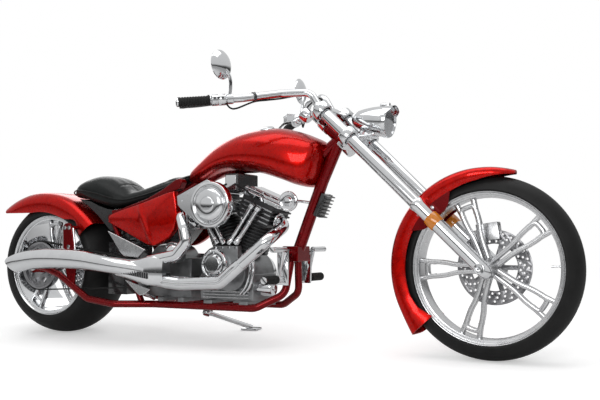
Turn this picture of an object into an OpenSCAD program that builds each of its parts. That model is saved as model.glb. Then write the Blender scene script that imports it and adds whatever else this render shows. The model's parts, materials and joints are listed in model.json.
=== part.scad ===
// Chopper motorcycle, parked on its side stand.
// Millimetres. +X points forward, +Y to the left, +Z up. The origin is on the floor, under the middle of the
// machine's bounding box.
// Every piece is drawn on the upright machine, and as_parked() leans the whole machine onto its stand.

/* [Stance] */
// Lean to the left when parked
lean = 5; // [3:0.5:7]
// Distance between the axles
wheelbase = 2132; // [1780:1:2560]
// Steering head angle from the vertical
rake = 46; // [40:0.5:48]
// Fork legs ahead of the steering axis
fork_offset = 50; // [42:1:60]

/* [Front wheel] */
// Radius over the tread
front_tyre_r = 345; // [320:1:370]
// Width of the tyre
front_tyre_w = 125; // [104:1:130]
// Radius of the crown across the tread
front_crown_r = 62; // [50:1:64]
// Radius of the rim's flange
front_rim_r = 292; // [270:1:300]
// Radius of the brake disc
front_disc_r = 144; // [120:1:172]

/* [Rear wheel] */
// Radius over the tread
rear_tyre_r = 330; // [300:1:345]
// Width of the tyre
rear_tyre_w = 280; // [234:1:290]
// Radius of the crown across the tread
rear_crown_r = 190; // [160:1:230]
// Radius of the rim's flange
rear_rim_r = 246; // [220:1:255]
// Radius of the brake disc
rear_disc_r = 140; // [117:1:165]
// Radius of the driven pulley
rear_pulley_r = 112; // [94:1:125]
// Width of the drive belt
belt_w = 34; // [26:1:36]

/* [Frame] */
// Radius of the backbone and the down tube
main_tube_r = 25; // [21:0.5:27]
// Radius of the lower rails
rail_r = 16; // [14:0.5:18]
// Height of the lower rails
rail_z = 165; // [155:1:185]
// Distance of the lower rails from the middle, under the engine
rail_y = 120; // [110:1:126]
// Distance of the rails from the middle, beside the rear wheel
stay_y = 206; // [206:1:230]

/* [Fork] */
// Radius of the fork legs
leg_r = 28; // [24:0.5:30]
// Distance of the fork legs from the middle
leg_y = 105; // [103:1:126]
// Length of the steering head
head_l = 118; // [100:1:130]
// Height of the lower clamp above the axle, along the fork
lower_clamp_s = 745; // [700:1:760]
// Thickness of the clamps
clamp_t = 36; // [30:1:40]

/* [Engine] */
// Angle between the two cylinders
vee = 45; // [42:1:50]
// Radius of the cylinder fins
fin_r = 80; // [66:1:84]
// Distance from the crankshaft to the top of the rocker boxes
engine_h = 383; // [360:1:395]
// Radius of the air cleaner's cover
air_cleaner_r = 98; // [80:1:110]
// Radius of the exhaust pipes
pipe_r = 26; // [22:0.5:27]
// Radius of the muffler at its widest
muffler_r = 48; // [42:1:54]

/* [Body] */
// Half the width of the fuel tank
tank_half_w = 150; // [125:1:165]
// Half the width of the seat
seat_half_w = 160; // [134:1:175]
// Half the width of the rear fender
rear_fender_half_w = 160; // [155:1:168]
// Thickness of the fenders
fender_t = 4; // [3:0.5:5]

/* [Hidden] */
$fn = 64;
EPS = 0.01;
// Gap between pieces that turn on each other, and between pieces that rest side by side
run_gap = 0.05;
side_gap = 0.3;
tube_sides = 16;

candy_red = [0.72, 0.06, 0.05];
frame_red = [0.36, 0.03, 0.05];
chrome_grey = [0.8, 0.8, 0.82];
alloy_grey = [0.66, 0.67, 0.69];
engine_black = [0.12, 0.12, 0.13];
rubber_black = [0.06, 0.06, 0.06];
amber = [0.95, 0.55, 0.05];

// ---- Places worked out from the sizes above ----

rear_axle_at = [0, 0, rear_tyre_r];
front_axle_at = [wheelbase, 0, front_tyre_r];
crown_lift = rear_crown_r * (1 - cos(lean));
// The steering frame: s runs up the steering axis, n runs forward of it
fork_up = [-sin(rake), 0, cos(rake)];
fork_ahead = [cos(rake), 0, sin(rake)];
fork_foot = front_axle_at - fork_offset * fork_ahead;
function on_fork(n, y, s) = fork_foot + n * fork_ahead + [0, y, 0] + s * fork_up;

head_low_s = lower_clamp_s + clamp_t / 2 + 3;
head_high_s = head_low_s + head_l;
upper_clamp_s = head_high_s + 3 + clamp_t / 2;
head_r = 33;
stem_r = 17.5;
leg_top_s = upper_clamp_s + clamp_t / 2 + 6;
front_axle_r = 12;
rear_axle_r = 12.5;

// The steering head carries the frame, the tank and the engine with it
head_mid = on_fork(0, 0, (head_low_s + head_high_s) / 2);
junction_at = [head_mid[0] - 200, 0, 392];
junction_size = [74, 110, 64];
junction_low_z = junction_at[2] - junction_size[2] / 2;
rail_front_x = junction_at[0] - 20;

// Heights and places of the engine
crank_at = [head_mid[0] - 474, 0, 300];
case_half_w = 95;
gearbox_at = [crank_at[0] - 390, 0, 298];
barrel_low = 118;
head_low = 250;
rocker_h = 40;
rocker_half_l = 100;
chain_cover_y = 168;
clutch_r = 92;

// The back of the frame
cross_tube_at = [392, 0, 556];
post_r = 14;
post_y = 115;
belt_y = (rear_tyre_w / 2 + 10);
belt_outer_y = belt_y + belt_w;

front_tyre_half_w = front_tyre_w / 2;
front_rim_half_w = front_tyre_half_w - 9;
rear_rim_half_w = rear_tyre_w / 2 - 14;
front_disc_y = front_tyre_half_w + 1;
disc_t = 5;
caliper_gap = 5;
rear_disc_y = rear_tyre_w / 2 + 18;

// ---- Helpers ----

function unit(v) = v / norm(v);
function side_of(v) = abs(v[2]) < 0.9 ? unit(cross([0, 0, 1], v)) : unit(cross([0, 1, 0], v));

module as_parked() { translate([-mid_x, -mid_y, crown_lift]) rotate([-lean, 0, 0]) children(); }
module in_fork() { translate(fork_foot) rotate([0, -rake, 0]) children(); }
module both_sides() { children(); mirror([0, 1, 0]) children(); }

// Puts the local axes on three unit vectors at a point
module placed(at, x, y, z) {
    multmatrix([
        [x[0], y[0], z[0], at[0]],
        [x[1], y[1], z[1], at[1]],
        [x[2], y[2], z[2], at[2]],
        [0, 0, 0, 1],
    ]) children();
}

// Stands the local Z axis on the line from a to b
module along(a, b) {
    z = unit(b - a);
    x = side_of(z);
    placed(a, x, cross(z, x), z) children();
}

module rod(a, b, r1, r2 = undef) {
    along(a, b) cylinder(h = norm(b - a), r1 = r1, r2 = r2 == undef ? r1 : r2);
}

// A disc or a shaft whose axis runs across the machine, from y0 to y1
module across(at, r, y0, y1) {
    translate([at[0], y0, at[2]]) rotate([-90, 0, 0]) cylinder(h = y1 - y0, r = r);
}

// An outline in the side view, pulled across the machine from y0 to y1
module side_plate(y0, y1) {
    translate([0, y1, 0]) rotate([90, 0, 0]) linear_extrude(y1 - y0) children();
}

module centred_box(at, size) { translate(at - size / 2) cube(size); }

// A tube bent through points, with round elbows. A route is a list of [point, direction].
function turn_at(p, i) = acos(min(1, unit(p[i] - p[i - 1]) * unit(p[i + 1] - p[i])));
function cut_at(p, i, bend) = i <= 0 || i >= len(p) - 1 ? 0 : bend * tan(turn_at(p, i) / 2);
function elbow(p, i, bend) =
    let (u = unit(p[i] - p[i - 1]), axis = unit(cross(u, unit(p[i + 1] - p[i]))), inward = cross(axis, u),
         centre = p[i] - u * cut_at(p, i, bend) + inward * bend, turn = turn_at(p, i), steps = ceil(turn / 12))
    [for (k = [0:steps]) let (a = turn * k / steps)
        [centre + bend * (sin(a) * u - cos(a) * inward), cos(a) * u + sin(a) * inward]];
function route(p, bend) = concat(
    [[p[0], unit(p[1] - p[0])]],
    [for (i = [1:1:len(p) - 2]) each elbow(p, i, bend)],
    [[p[len(p) - 1], unit(p[len(p) - 1] - p[len(p) - 2])]]
);
// The side direction is carried along the route without a twist
function carried(stops, i, x) = i >= len(stops) ? [] :
    let (t = stops[i][1], s = unit(x - (x * t) * t)) concat([s], carried(stops, i + 1, s));
function tube_rings(stops, radii) =
    let (sides = carried(stops, 0, side_of(stops[0][1])))
    [for (i = [0:len(stops) - 1]) [for (k = [0:tube_sides - 1]) let (a = k * 360 / tube_sides)
        stops[i][0] + radii[i] * (cos(a) * sides[i] + sin(a) * cross(stops[i][1], sides[i]))]];

module bent_tube(p, r, bend) {
    stops = route(p, bend);
    skin(tube_rings(stops, [for (stop = stops) r]));
}

// A closed skin over rings, each of which turns anticlockwise about the way they follow each other
module skin(rings) {
    n = len(rings[0]);
    last = len(rings) - 1;
    sides = [for (i = [0:last - 1], j = [0:n - 1]) each [
        [i * n + j, (i + 1) * n + j, (i + 1) * n + (j + 1) % n],
        [i * n + j, (i + 1) * n + (j + 1) % n, i * n + (j + 1) % n],
    ]];
    caps = [[for (j = [0:n - 1]) j], [for (j = [n - 1:-1:0]) last * n + j]];
    polyhedron([for (ring = rings) each ring], concat(sides, caps), convexity = 6);
}

// ---- Frame ----

module head_tube() {
    color(frame_red) in_fork() difference() {
        translate([0, 0, head_low_s]) cylinder(h = head_l, r = head_r);
        translate([0, 0, head_low_s - 1]) cylinder(h = head_l + 2, r = stem_r + run_gap);
    }
}

module head_envelope() { in_fork() translate([0, 0, head_low_s - 40]) cylinder(h = head_l + 80, r = head_r); }

backbone_path = [
    on_fork(-6, 0, head_low_s + 42),
    head_mid + [-120, 0, -110],
    [head_mid[0] - 564, 0, 766],
    [620, 0, 618],
    cross_tube_at,
];
function backbone_z(x) = lookup(x, [for (i = [4:-1:0]) [backbone_path[i][0], backbone_path[i][2]]]);
function backbone_slope(x) = atan((backbone_z(x + 1) - backbone_z(x - 1)) / 2);
function backbone_top(x) = backbone_z(x) + main_tube_r / cos(backbone_slope(x));

module backbone() {
    color(frame_red) difference() {
        bent_tube(backbone_path, main_tube_r, 120);
        head_envelope();
        across(cross_tube_at, post_r, -post_y - 1, post_y + 1);
        translate([cross_tube_at[0] - 60, -post_y, cross_tube_at[2] - 60]) cube([60, 2 * post_y, 120]);
    }
}

module down_tube_envelope() {
    bent_tube([on_fork(-6, 0, head_low_s + 42), head_mid + [-72, 0, -185], junction_at + [6, 0, 0]], main_tube_r, 220);
}

module down_tube() {
    color(frame_red) {
        difference() {
            down_tube_envelope();
            head_envelope();
            centred_box(junction_at, junction_size);
            rod(backbone_path[0], backbone_path[1], main_tube_r);
        }
        centred_box(junction_at, junction_size);
    }
}

// One side's rail runs from the junction down, under the engine, out and up to the rear axle
rail_path = [
    [junction_at[0] - 8, -32, junction_low_z],
    [rail_front_x, -60, rail_z + 60],
    [rail_front_x - 110, -rail_y, rail_z],
    [640, -rail_y, rail_z],
    [480, -stay_y, rail_z],
    [330, -stay_y, rail_z + 18],
    [155, -stay_y, rear_tyre_r - 40],
    [66, -stay_y, rear_tyre_r - 12],
];

module lower_rail() { bent_tube(rail_path, rail_r, 60); }
module right_lower_rail() {
    color(frame_red) difference() {
        lower_rail();
        centred_box(junction_at, junction_size);
    }
}
module left_lower_rail() { mirror([0, 1, 0]) right_lower_rail(); }

post_foot = [584, -post_y - 13, rail_z];
module seat_posts() {
    color(frame_red) {
        both_sides() difference() {
            rod(post_foot, [cross_tube_at[0], -post_y, cross_tube_at[2]], post_r);
            lower_rail();
        }
        across(cross_tube_at, post_r, -post_y - post_r, post_y + post_r);
    }
}

module axle_plates() {
    color(frame_red) both_sides() difference() {
        side_plate(-stay_y - 7, -stay_y + 7) difference() {
            union() {
                translate([0, rear_tyre_r]) circle(34);
                translate([0, rear_tyre_r - 34]) square([66, 40]);
            }
            translate([0, rear_tyre_r]) circle(rear_axle_r + run_gap);
        }
        lower_rail();
    }
}

strut_foot = [236, -stay_y, rear_tyre_r - 86];
strut_top = [200, -stay_y, rear_tyre_r + 196];
strut_w = 56;
strut_t = 12;

module fender_struts() {
    color(frame_red) both_sides() {
        difference() {
            union() {
                placed(strut_foot, [0.998, 0, 0.062], [0, 1, 0], [-0.062, 0, 0.998])
                    translate([-strut_w / 2, -strut_t / 2, 0])
                    cube([strut_w, strut_t, norm(strut_top - strut_foot)]);
                for (dx = [-16, 16])
                    across(strut_top + [dx, 0, -18], 9, -stay_y + strut_t / 2, -rear_fender_half_w);
            }
            lower_rail();
            translate([0, -rear_fender_half_w, 0]) cube([400, 20, 800]);
        }
    }
}

// ---- Engine ----

cylinder_lean = vee / 2;
module on_cylinder(dir) { translate(crank_at) rotate([0, dir * cylinder_lean, 0]) children(); }
function up_cylinder(dir, along_x, y, up) = crank_at
    + along_x * [cos(cylinder_lean), 0, -dir * sin(cylinder_lean)] + [0, y, 0]
    + up * [dir * sin(cylinder_lean), 0, cos(cylinder_lean)];

case_r = 112;
sump_low_z = rail_z + rail_r + 12;
cam_chest_y = 128;

module engine_case() {
    color(alloy_grey) difference() {
        union() {
            across(crank_at, case_r, -case_half_w, case_half_w);
            translate([crank_at[0] - 150, -case_half_w, sump_low_z]) cube([270, 2 * case_half_w, 110]);
            // Timing chest on the right
            side_plate(-cam_chest_y, -case_half_w) union() {
                translate([crank_at[0] - 40, crank_at[2] + 40]) circle(84);
                translate([crank_at[0] + 20, crank_at[2] + 10]) circle(78);
                translate([crank_at[0] - 62, crank_at[2] + 60]) square([124, 65]);
            }
            // Feet on the two lower rails
            for (x = [crank_at[0] - 110, crank_at[0] + 70]) difference() {
                translate([x, -rail_y - 10, rail_z]) cube([44, 2 * rail_y + 20, rail_r + 12 + EPS]);
                both_sides() lower_rail();
                translate([x - 1, -rail_y + 20, rail_z - 1]) cube([46, 2 * rail_y - 40, rail_r]);
            }
        }
        for (dir = [-1, 1]) on_cylinder(dir) translate([0, 0, barrel_low]) cylinder(h = 200, r = fin_r);
    }
}

module barrel(dir) {
    fins = 9;
    pitch = (head_low - barrel_low) / fins;
    on_cylinder(dir) {
        translate([0, 0, barrel_low]) cylinder(h = head_low - barrel_low, r = fin_r - 16);
        for (i = [0:fins - 1])
            translate([0, 0, barrel_low + (i + 0.35) * pitch]) cylinder(h = pitch * 0.4, r = fin_r);
    }
}

module cylinder_head(dir) {
    rocker_low = engine_h - rocker_h;
    on_cylinder(dir) {
        translate([-fin_r, -fin_r + 6, head_low]) cube([2 * fin_r, 2 * fin_r - 12, rocker_low - head_low]);
        for (i = [0:3])
            translate([-fin_r - 8, -fin_r, head_low + 12 + i * 19]) cube([2 * fin_r + 16, 2 * fin_r, 7]);
    }
}

// The fins of the two cylinders stop at the plane between them
module whole_cylinder(dir) {
    color(engine_black) difference() {
        union() { barrel(dir); cylinder_head(dir); }
        translate([crank_at[0] - (dir == 1 ? 400 : -0.5) - (dir == 1 ? -0.5 : 0), -200, 0]) cube([400, 400, 1200]);
        across(intake_at, intake_r + side_gap, -100, 100);
    }
}
module front_cylinder() { whole_cylinder(1); }
module rear_cylinder() { whole_cylinder(-1); }

module rocker_boxes() {
    color(chrome_grey) for (dir = [-1, 1]) on_cylinder(dir) {
        translate([-rocker_half_l, -72, engine_h - rocker_h]) cube([2 * rocker_half_l, 144, 20]);
        translate([-rocker_half_l + 10, -64, engine_h - 20]) cube([2 * rocker_half_l - 20, 128, 20]);
    }
}

module pushrod_tubes() {
    color(chrome_grey) for (dir = [-1, 1], shift = [-18, 16]) {
        foot = [crank_at[0] + dir * 28 + shift, -116, crank_at[2] + 132.3];
        top = up_cylinder(dir, shift + dir * 14, -102, engine_h - rocker_h - 20);
        rod(foot, top, 9);
        rod(foot, foot + unit(top - foot) * 30, 12);
    }
}

cam_cover_at = [crank_at[0] - 48, 0, crank_at[2] + 46];
cam_cover_r = 68;
module cam_cover() {
    color(chrome_grey) {
        across(cam_cover_at, cam_cover_r, -cam_chest_y - 22, -cam_chest_y);
        across(cam_cover_at, cam_cover_r - 14, -cam_chest_y - 30, -cam_chest_y - 22);
    }
}

air_cleaner_at = [crank_at[0] - 20, 0, crank_at[2] + 298];
backplate_y = 190;
intake_at = crank_at + [0, 0, 292];
intake_r = 34;
module intake() {
    color(alloy_grey) {
        across(intake_at, intake_r, -backplate_y + 8, 40);
        across(intake_at + [-12, 0, 0], 44, -backplate_y + 8, -98);
    }
}

module air_cleaner() {
    color(chrome_grey) {
        side_plate(-backplate_y, -backplate_y + 8) union() {
            translate([air_cleaner_at[0], air_cleaner_at[2]]) circle(air_cleaner_r);
            translate([air_cleaner_at[0], air_cleaner_at[2]]) polygon([
                [-30, -90], [-172, 30], [-188, 46], [-20, air_cleaner_r + 6], [20, 60],
            ]);
        }
        across(air_cleaner_at, air_cleaner_r, -backplate_y - 34, -backplate_y);
        across(air_cleaner_at, air_cleaner_r - 22, -backplate_y - 46, -backplate_y - 34);
        across(air_cleaner_at, 30, -backplate_y - 52, -backplate_y - 46);
    }
}

module primary_cover() {
    color(chrome_grey) side_plate(case_half_w, chain_cover_y) union() {
        translate([crank_at[0], crank_at[2]]) circle(86);
        translate([gearbox_at[0], gearbox_at[2]]) circle(clutch_r);
        polygon([
            [gearbox_at[0], gearbox_at[2] + clutch_r], [gearbox_at[0], gearbox_at[2] - clutch_r],
            [crank_at[0], crank_at[2] - 86], [crank_at[0], crank_at[2] + 86],
        ]);
    }
}

front_pulley_r = 52;
module transmission() {
    color(alloy_grey) {
        side_plate(-case_half_w, case_half_w) union() {
            translate([gearbox_at[0] - 60, sump_low_z + 6]) square([250, 170]);
            translate([gearbox_at[0] + 30, gearbox_at[2] + 64]) circle(66);
        }
        across(gearbox_at, 18, -belt_outer_y - 14, -case_half_w);
        across(gearbox_at, front_pulley_r, -belt_outer_y, -belt_y);
        across(gearbox_at, 30, -belt_outer_y - 14, -belt_outer_y);
        // Round cover of the gear shafts, above the pulley
        across(gearbox_at + [118, 0, 98], 46, -case_half_w - 40, -case_half_w);
        // Feet on the rails
        for (x = [gearbox_at[0] + 30, gearbox_at[0] + 140]) difference() {
            translate([x, -rail_y - 6, rail_z]) cube([30, 2 * rail_y + 12, sump_low_z + 6 - rail_z]);
            both_sides() lower_rail();
            translate([x - 1, -rail_y + 20, rail_z - 1]) cube([32, 2 * rail_y - 40, rail_r]);
        }
    }
}

// The belt's loop: two arcs and the two straight runs that touch them
belt_gap = 0.4;
belt_t = 6;
belt_span = norm([gearbox_at[0], gearbox_at[2] - rear_tyre_r]);
belt_slope = atan2(gearbox_at[2] - rear_tyre_r, gearbox_at[0]);
belt_wrap = asin((rear_pulley_r - front_pulley_r) / belt_span);
module belt_outline(grow) {
    big = rear_pulley_r + grow;
    small = front_pulley_r + grow;
    polygon(concat(
        [for (k = [0:24]) let (a = 90 - belt_wrap + k * (180 + 2 * belt_wrap) / 24) big * [cos(a), sin(a)]],
        [for (k = [0:16]) let (a = 270 + belt_wrap + k * (180 - 2 * belt_wrap) / 16)
            [belt_span, 0] + small * [cos(a), sin(a)]]
    ));
}
module drive_belt() {
    color(rubber_black) side_plate(-belt_outer_y + 1, -belt_y - 1) translate([0, rear_tyre_r]) rotate(belt_slope) difference() {
        belt_outline(belt_gap + belt_t);
        // The inner face's flats still clear the round pulleys
        belt_outline(belt_gap + 0.6);
    }
}

// ---- Exhaust ----

exhaust_y = 200;
front_port = up_cylinder(1, fin_r + 8, -20, head_low + 40);
rear_port = up_cylinder(-1, -fin_r - 8, -20, head_low + 40);
front_port_way = [cos(cylinder_lean), 0, -sin(cylinder_lean)];
rear_port_way = [-cos(cylinder_lean), 0, -sin(cylinder_lean)];
front_pipe_path = [
    front_port,
    front_port + 48 * front_port_way,
    [crank_at[0] + 236, -exhaust_y + 30, crank_at[2] + 150],
    [crank_at[0] + 28, -exhaust_y, crank_at[2] - 26],
    [crank_at[0] - 180, -exhaust_y, crank_at[2] - 36],
    [crank_at[0] - 330, -exhaust_y - 24, crank_at[2] - 20],
];
rear_pipe_path = [
    rear_port,
    rear_port + 48 * rear_port_way,
    [crank_at[0] - 200, -exhaust_y + 26, crank_at[2] + 258],
    [crank_at[0] - 162, -exhaust_y - 2, crank_at[2] + 200],
    [crank_at[0] - 150, -exhaust_y - 2, crank_at[2] + 140],
    [crank_at[0] - 200, -exhaust_y - 5, crank_at[2] + 84],
    [crank_at[0] - 330, -exhaust_y - 26, crank_at[2] + 58],
];
axle_nut_l = 16;
muffler_y = stay_y + 7 + axle_nut_l + muffler_r + 5;
muffler_path = [
    [crank_at[0] - 330, -exhaust_y - 28, crank_at[2] + 14],
    [540, -muffler_y, 340],
    [360, -muffler_y, 362],
    [150, -muffler_y, 368],
    [-10, -muffler_y, 352],
    [-104, -muffler_y, 336],
];
muffler_radii = [40, 36, 43, muffler_r, muffler_r - 3, muffler_r - 11];

module front_exhaust_pipe() {
    color(chrome_grey) difference() {
        bent_tube(front_pipe_path, pipe_r, 48);
        muffler_body();
    }
}
module rear_exhaust_pipe() {
    color(chrome_grey) difference() {
        bent_tube(rear_pipe_path, pipe_r, 36);
        muffler_body();
    }
}

function muffler_way(i) = unit(muffler_path[min(i + 1, len(muffler_path) - 1)] - muffler_path[max(i - 1, 0)]);
module muffler_body() {
    skin(tube_rings([for (i = [0:len(muffler_path) - 1]) [muffler_path[i], muffler_way(i)]], muffler_radii));
}
module muffler() {
    mouth = muffler_path[len(muffler_path) - 1];
    color(chrome_grey) difference() {
        muffler_body();
        // Slanted mouth and the way in
        translate(mouth + [0, 0, 30]) rotate([0, -38, 0]) translate([-200, -100, -160]) cube([200, 200, 260]);
        rod(mouth + [-20, 0, -4], mouth + [90, 0, 12], muffler_radii[len(muffler_radii) - 1] - 6);
    }
}

// ---- Body ----

tunnel_gap = 4;
tunnel_half_w = main_tube_r + tunnel_gap;
tank_back_x = 780;
tank_front_x = head_mid[0] - 62;
// Columns: place from back to front (0 to 1), top, bottom, share of the half width, height of the widest line
tank_rings = [
    [0.00, 754, 700, 0.40, 724],
    [0.12, 812, 718, 0.60, 756],
    [0.26, 872, 750, 0.78, 792],
    [0.41, 910, 750, 0.91, 812],
    [0.56, 926, 738, 0.99, 812],
    [0.71, 926, 708, 1.00, 800],
    [0.83, 907, 680, 0.93, 780],
    [0.92, 882, 672, 0.80, 768],
    [1.00, 860, 800, 0.50, 822],
];
function power(v, p) = sign(v) * pow(abs(v), p);
function tank_x(t) = tank_back_x + t * (tank_front_x - tank_back_x);
function tank_ring(row) =
    let (x = tank_x(row[0]), top = row[1], low = row[2], half_w = row[3] * tank_half_w, mid = row[4],
         roof = min(top - 12, max([for (dx = [-40, 0, 40]) backbone_top(x + dx)]) + side_gap))
    concat(
        [for (a = [0:15:180]) [x, half_w * power(cos(a), 0.8), mid + (top - mid) * power(sin(a), 0.8)]],
        [for (a = [200:15:245]) [x, half_w * power(cos(a), 0.8), mid + (mid - low) * power(sin(a), 0.8)]],
        [[x, -tunnel_half_w, low], [x, -tunnel_half_w, roof], [x, tunnel_half_w, roof], [x, tunnel_half_w, low]],
        [for (a = [295:15:340]) [x, half_w * power(cos(a), 0.8), mid + (mid - low) * power(sin(a), 0.8)]]
    );
module fuel_tank() { color(candy_red) skin([for (row = tank_rings) tank_ring(row)]); }

// Columns: x, top, bottom, share of the half width. The seat's front rests on the backbone.
function seat_rest(x) = backbone_top(x) + 0.4;
seat_rings = [
    [138, 684, 652, 0.50],
    [165, 716, 650, 0.78],
    [215, 742, 644, 0.96],
    [285, 754, 612, 1.00],
    [345, 744, 598, 0.98],
    [405, 712, 590, 0.90],
    [462, 682, seat_rest(462), 0.76],
    [530, 690, seat_rest(530), 0.62],
    [610, 712, seat_rest(610), 0.48],
    [700, 742, seat_rest(700), 0.34],
    [772, 757, seat_rest(772), 0.24],
];
function seat_ring(row) = [for (a = [0:15:345]) [
    row[0],
    row[3] * seat_half_w * power(cos(a), 0.7),
    (row[1] + row[2]) / 2 + (row[1] - row[2]) / 2 * power(sin(a), 0.7),
]];
module seat() { color(rubber_black) skin([for (row = seat_rings) seat_ring(row)]); }

oil_tank_half_w = 92;
panel_inner_y = 132;
panel_outer_y = 168;
module oil_tank() {
    color(engine_black) {
        side_plate(-oil_tank_half_w, oil_tank_half_w)
            polygon([[410, 440], [428, 530], [620, 582], [700, 618], [760, 500], [700, 436], [560, 424]]);
        both_sides() for (x = [500, 680])
            across([x, 0, 520], 12, -panel_inner_y, -oil_tank_half_w);
        // Lugs that rest on the seat posts
        both_sides() across([434, 0, 470], 8, -post_y + post_r - 2.4, -oil_tank_half_w + 1);
        // Battery box under the tank, in front of the wheel
        translate([352, -oil_tank_half_w, 200]) cube([110, 2 * oil_tank_half_w, 240 - EPS]);
        translate([410, -oil_tank_half_w, 424]) cube([52, 2 * oil_tank_half_w, 20]);
    }
}

module side_panels() {
    color(candy_red) both_sides() side_plate(-panel_outer_y, -panel_inner_y) polygon([
        [402, 533], [425, 570], [600, 616], [760, 662], [784, 648], [794, 559],
        [772, 485], [714, 440], [647, 426], [544, 469], [474, 501],
    ]);
}

module trim_plates() {
    color(chrome_grey) both_sides() {
        side_plate(-panel_outer_y - 14, -panel_outer_y - 4)
            polygon([[420, 494], [640, 408], [600, 372], [520, 378], [500, 392]]);
        for (at = [[472, 0, 452], [510, 0, 446]]) across(at, 7, -panel_outer_y - 5, -oil_tank_half_w);
    }
}

// The rear fender is an arc about its own centre, a little behind and below the axle
fender_centre = [-38, 0, rear_tyre_r - 89];
fender_r = 442;
fender_skirt = 92;
module arch_section(r_top, half_w, depth, corner, t) {
    difference() {
        intersection() {
            translate([r_top - depth, -half_w]) square([depth, 2 * half_w]);
            union() {
                translate([r_top - 2 * corner, -half_w + corner]) square([2 * corner, 2 * half_w - 2 * corner]);
                translate([r_top - depth, -half_w]) square([depth - corner, 2 * half_w]);
                for (side = [-1, 1]) translate([r_top - corner, side * (half_w - corner)]) circle(corner);
            }
        }
        translate([r_top - depth - 1, -half_w + t]) square([depth - corner + 1, 2 * half_w - 2 * t]);
        translate([r_top - corner - 1, -half_w + corner]) square([corner - t + 1, 2 * half_w - 2 * corner]);
        for (side = [-1, 1]) translate([r_top - corner, side * (half_w - corner)]) circle(corner - t);
    }
}
module rear_fender() {
    color(candy_red) difference() {
        translate(fender_centre) rotate([90, 0, 0]) rotate([0, 0, 41])
            rotate_extrude(angle = 82.5) arch_section(fender_r, rear_fender_half_w, fender_skirt, 46, fender_t);
        translate([-500, -200, 200]) cube([506, 400, rear_tyre_r + 257 - 200]);
        across([230, 0, 466], 50, -200, 200);
    }
}

module tail_lamp() {
    color("darkred") rod(
        fender_centre + (fender_r + 0.1) * [cos(119.5), 0, sin(119.5)],
        fender_centre + (fender_r + 16) * [cos(119.5), 0, sin(119.5)], 22);
}

// ---- Rear wheel ----

module hub_bore(at, r, half_w) { across(at, r, -half_w, half_w); }

// A rim: two flanges, a barrel and a drop centre
module rim_ring(at, flange_r, half_w, t) {
    translate(at) rotate([90, 0, 0]) rotate_extrude() difference() {
        translate([flange_r - 30, -half_w]) square([30, 2 * half_w]);
        translate([flange_r - 22, -half_w + t]) square([23, 2 * half_w - 2 * t]);
    }
}

spoke_count = 5;
// Each spoke is a long loop with a slot through it
module spoke_loop(r_in, r_out, half_w) {
    difference() {
        union() {
            translate([r_in, -half_w * 0.62]) square([r_out - r_in, half_w * 1.24]);
            translate([(r_in + r_out) / 2, -half_w]) square([(r_out - r_in) / 2, 2 * half_w]);
        }
        translate([(r_in + r_out) / 2 + 8, -half_w * 0.5]) square([(r_out - r_in) / 2 - 30, half_w]);
        translate([(r_in + r_out) / 2 + 8, 0]) circle(half_w * 0.5);
    }
}
module spokes(at, r_in, r_out, half_w, y0, y1, first) {
    side_plate(y0, y1) translate([at[0], at[2]])
        for (i = [0:spoke_count - 1]) rotate(first + i * 360 / spoke_count) spoke_loop(r_in, r_out, half_w);
}

rear_hub_r = 46;
module rear_rim() {
    color(chrome_grey) difference() {
        union() {
            rim_ring(rear_axle_at, rear_rim_r, rear_rim_half_w, 8);
            across(rear_axle_at, rear_hub_r, -rear_tyre_w / 2 + 4, rear_tyre_w / 2 - 4);
            spokes(rear_axle_at, rear_hub_r - 10, rear_rim_r - 28, 32, -72, -34, 20);
        }
        hub_bore(rear_axle_at, rear_axle_r + run_gap, rear_tyre_w);
    }
}

module tyre_section(tyre_r, half_w, crown_r, rim_r, rim_half_w) {
    difference() {
        intersection() {
            translate([tyre_r - crown_r, 0]) circle(crown_r, $fn = 128);
            translate([rim_r - 22, -half_w]) square([tyre_r - rim_r + 22, 2 * half_w]);
        }
        for (side = [-1, 1])
            translate([rim_r - 30, side == 1 ? rim_half_w - 8 : -rim_half_w - 92]) square([30, 100]);
    }
}
module rear_tyre() {
    color(rubber_black) translate(rear_axle_at) rotate([90, 0, 0])
        rotate_extrude() tyre_section(rear_tyre_r, rear_tyre_w / 2, rear_crown_r, rear_rim_r, rear_rim_half_w);
}

module drilled_disc(at, r, inner_r, y0, y1, rows) {
    side_plate(y0, y1) translate([at[0], at[2]]) difference() {
        circle(r);
        circle(inner_r);
        for (row = [0:rows - 1], i = [0:23])
            rotate(i * 15 + row * 5) translate([r - 14 - row * 15, 0]) circle(4.5);
    }
}

module rear_disc() {
    color("dimgray") difference() {
        union() {
            drilled_disc(rear_axle_at, rear_disc_r, rear_hub_r, rear_disc_y - disc_t / 2, rear_disc_y + disc_t / 2, 3);
            across(rear_axle_at, rear_hub_r + 6, rear_tyre_w / 2 - 4, rear_disc_y + 8);
        }
        hub_bore(rear_axle_at, rear_axle_r + run_gap, rear_tyre_w);
    }
}

module rear_pulley() {
    color("dimgray") difference() {
        union() {
            side_plate(-belt_outer_y, -belt_y) translate([0, rear_tyre_r]) difference() {
                circle(rear_pulley_r);
                circle(rear_pulley_r - 16);
            }
            side_plate(-belt_outer_y + 12, -belt_outer_y + 18) translate([0, rear_tyre_r]) difference() {
                circle(rear_pulley_r - 10);
                for (i = [0:9]) rotate(i * 36) translate([72, 0]) circle(14);
            }
            across(rear_axle_at, rear_hub_r, -belt_outer_y, -rear_tyre_w / 2 + 4);
        }
        hub_bore(rear_axle_at, rear_axle_r + run_gap, rear_tyre_w);
    }
}

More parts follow.
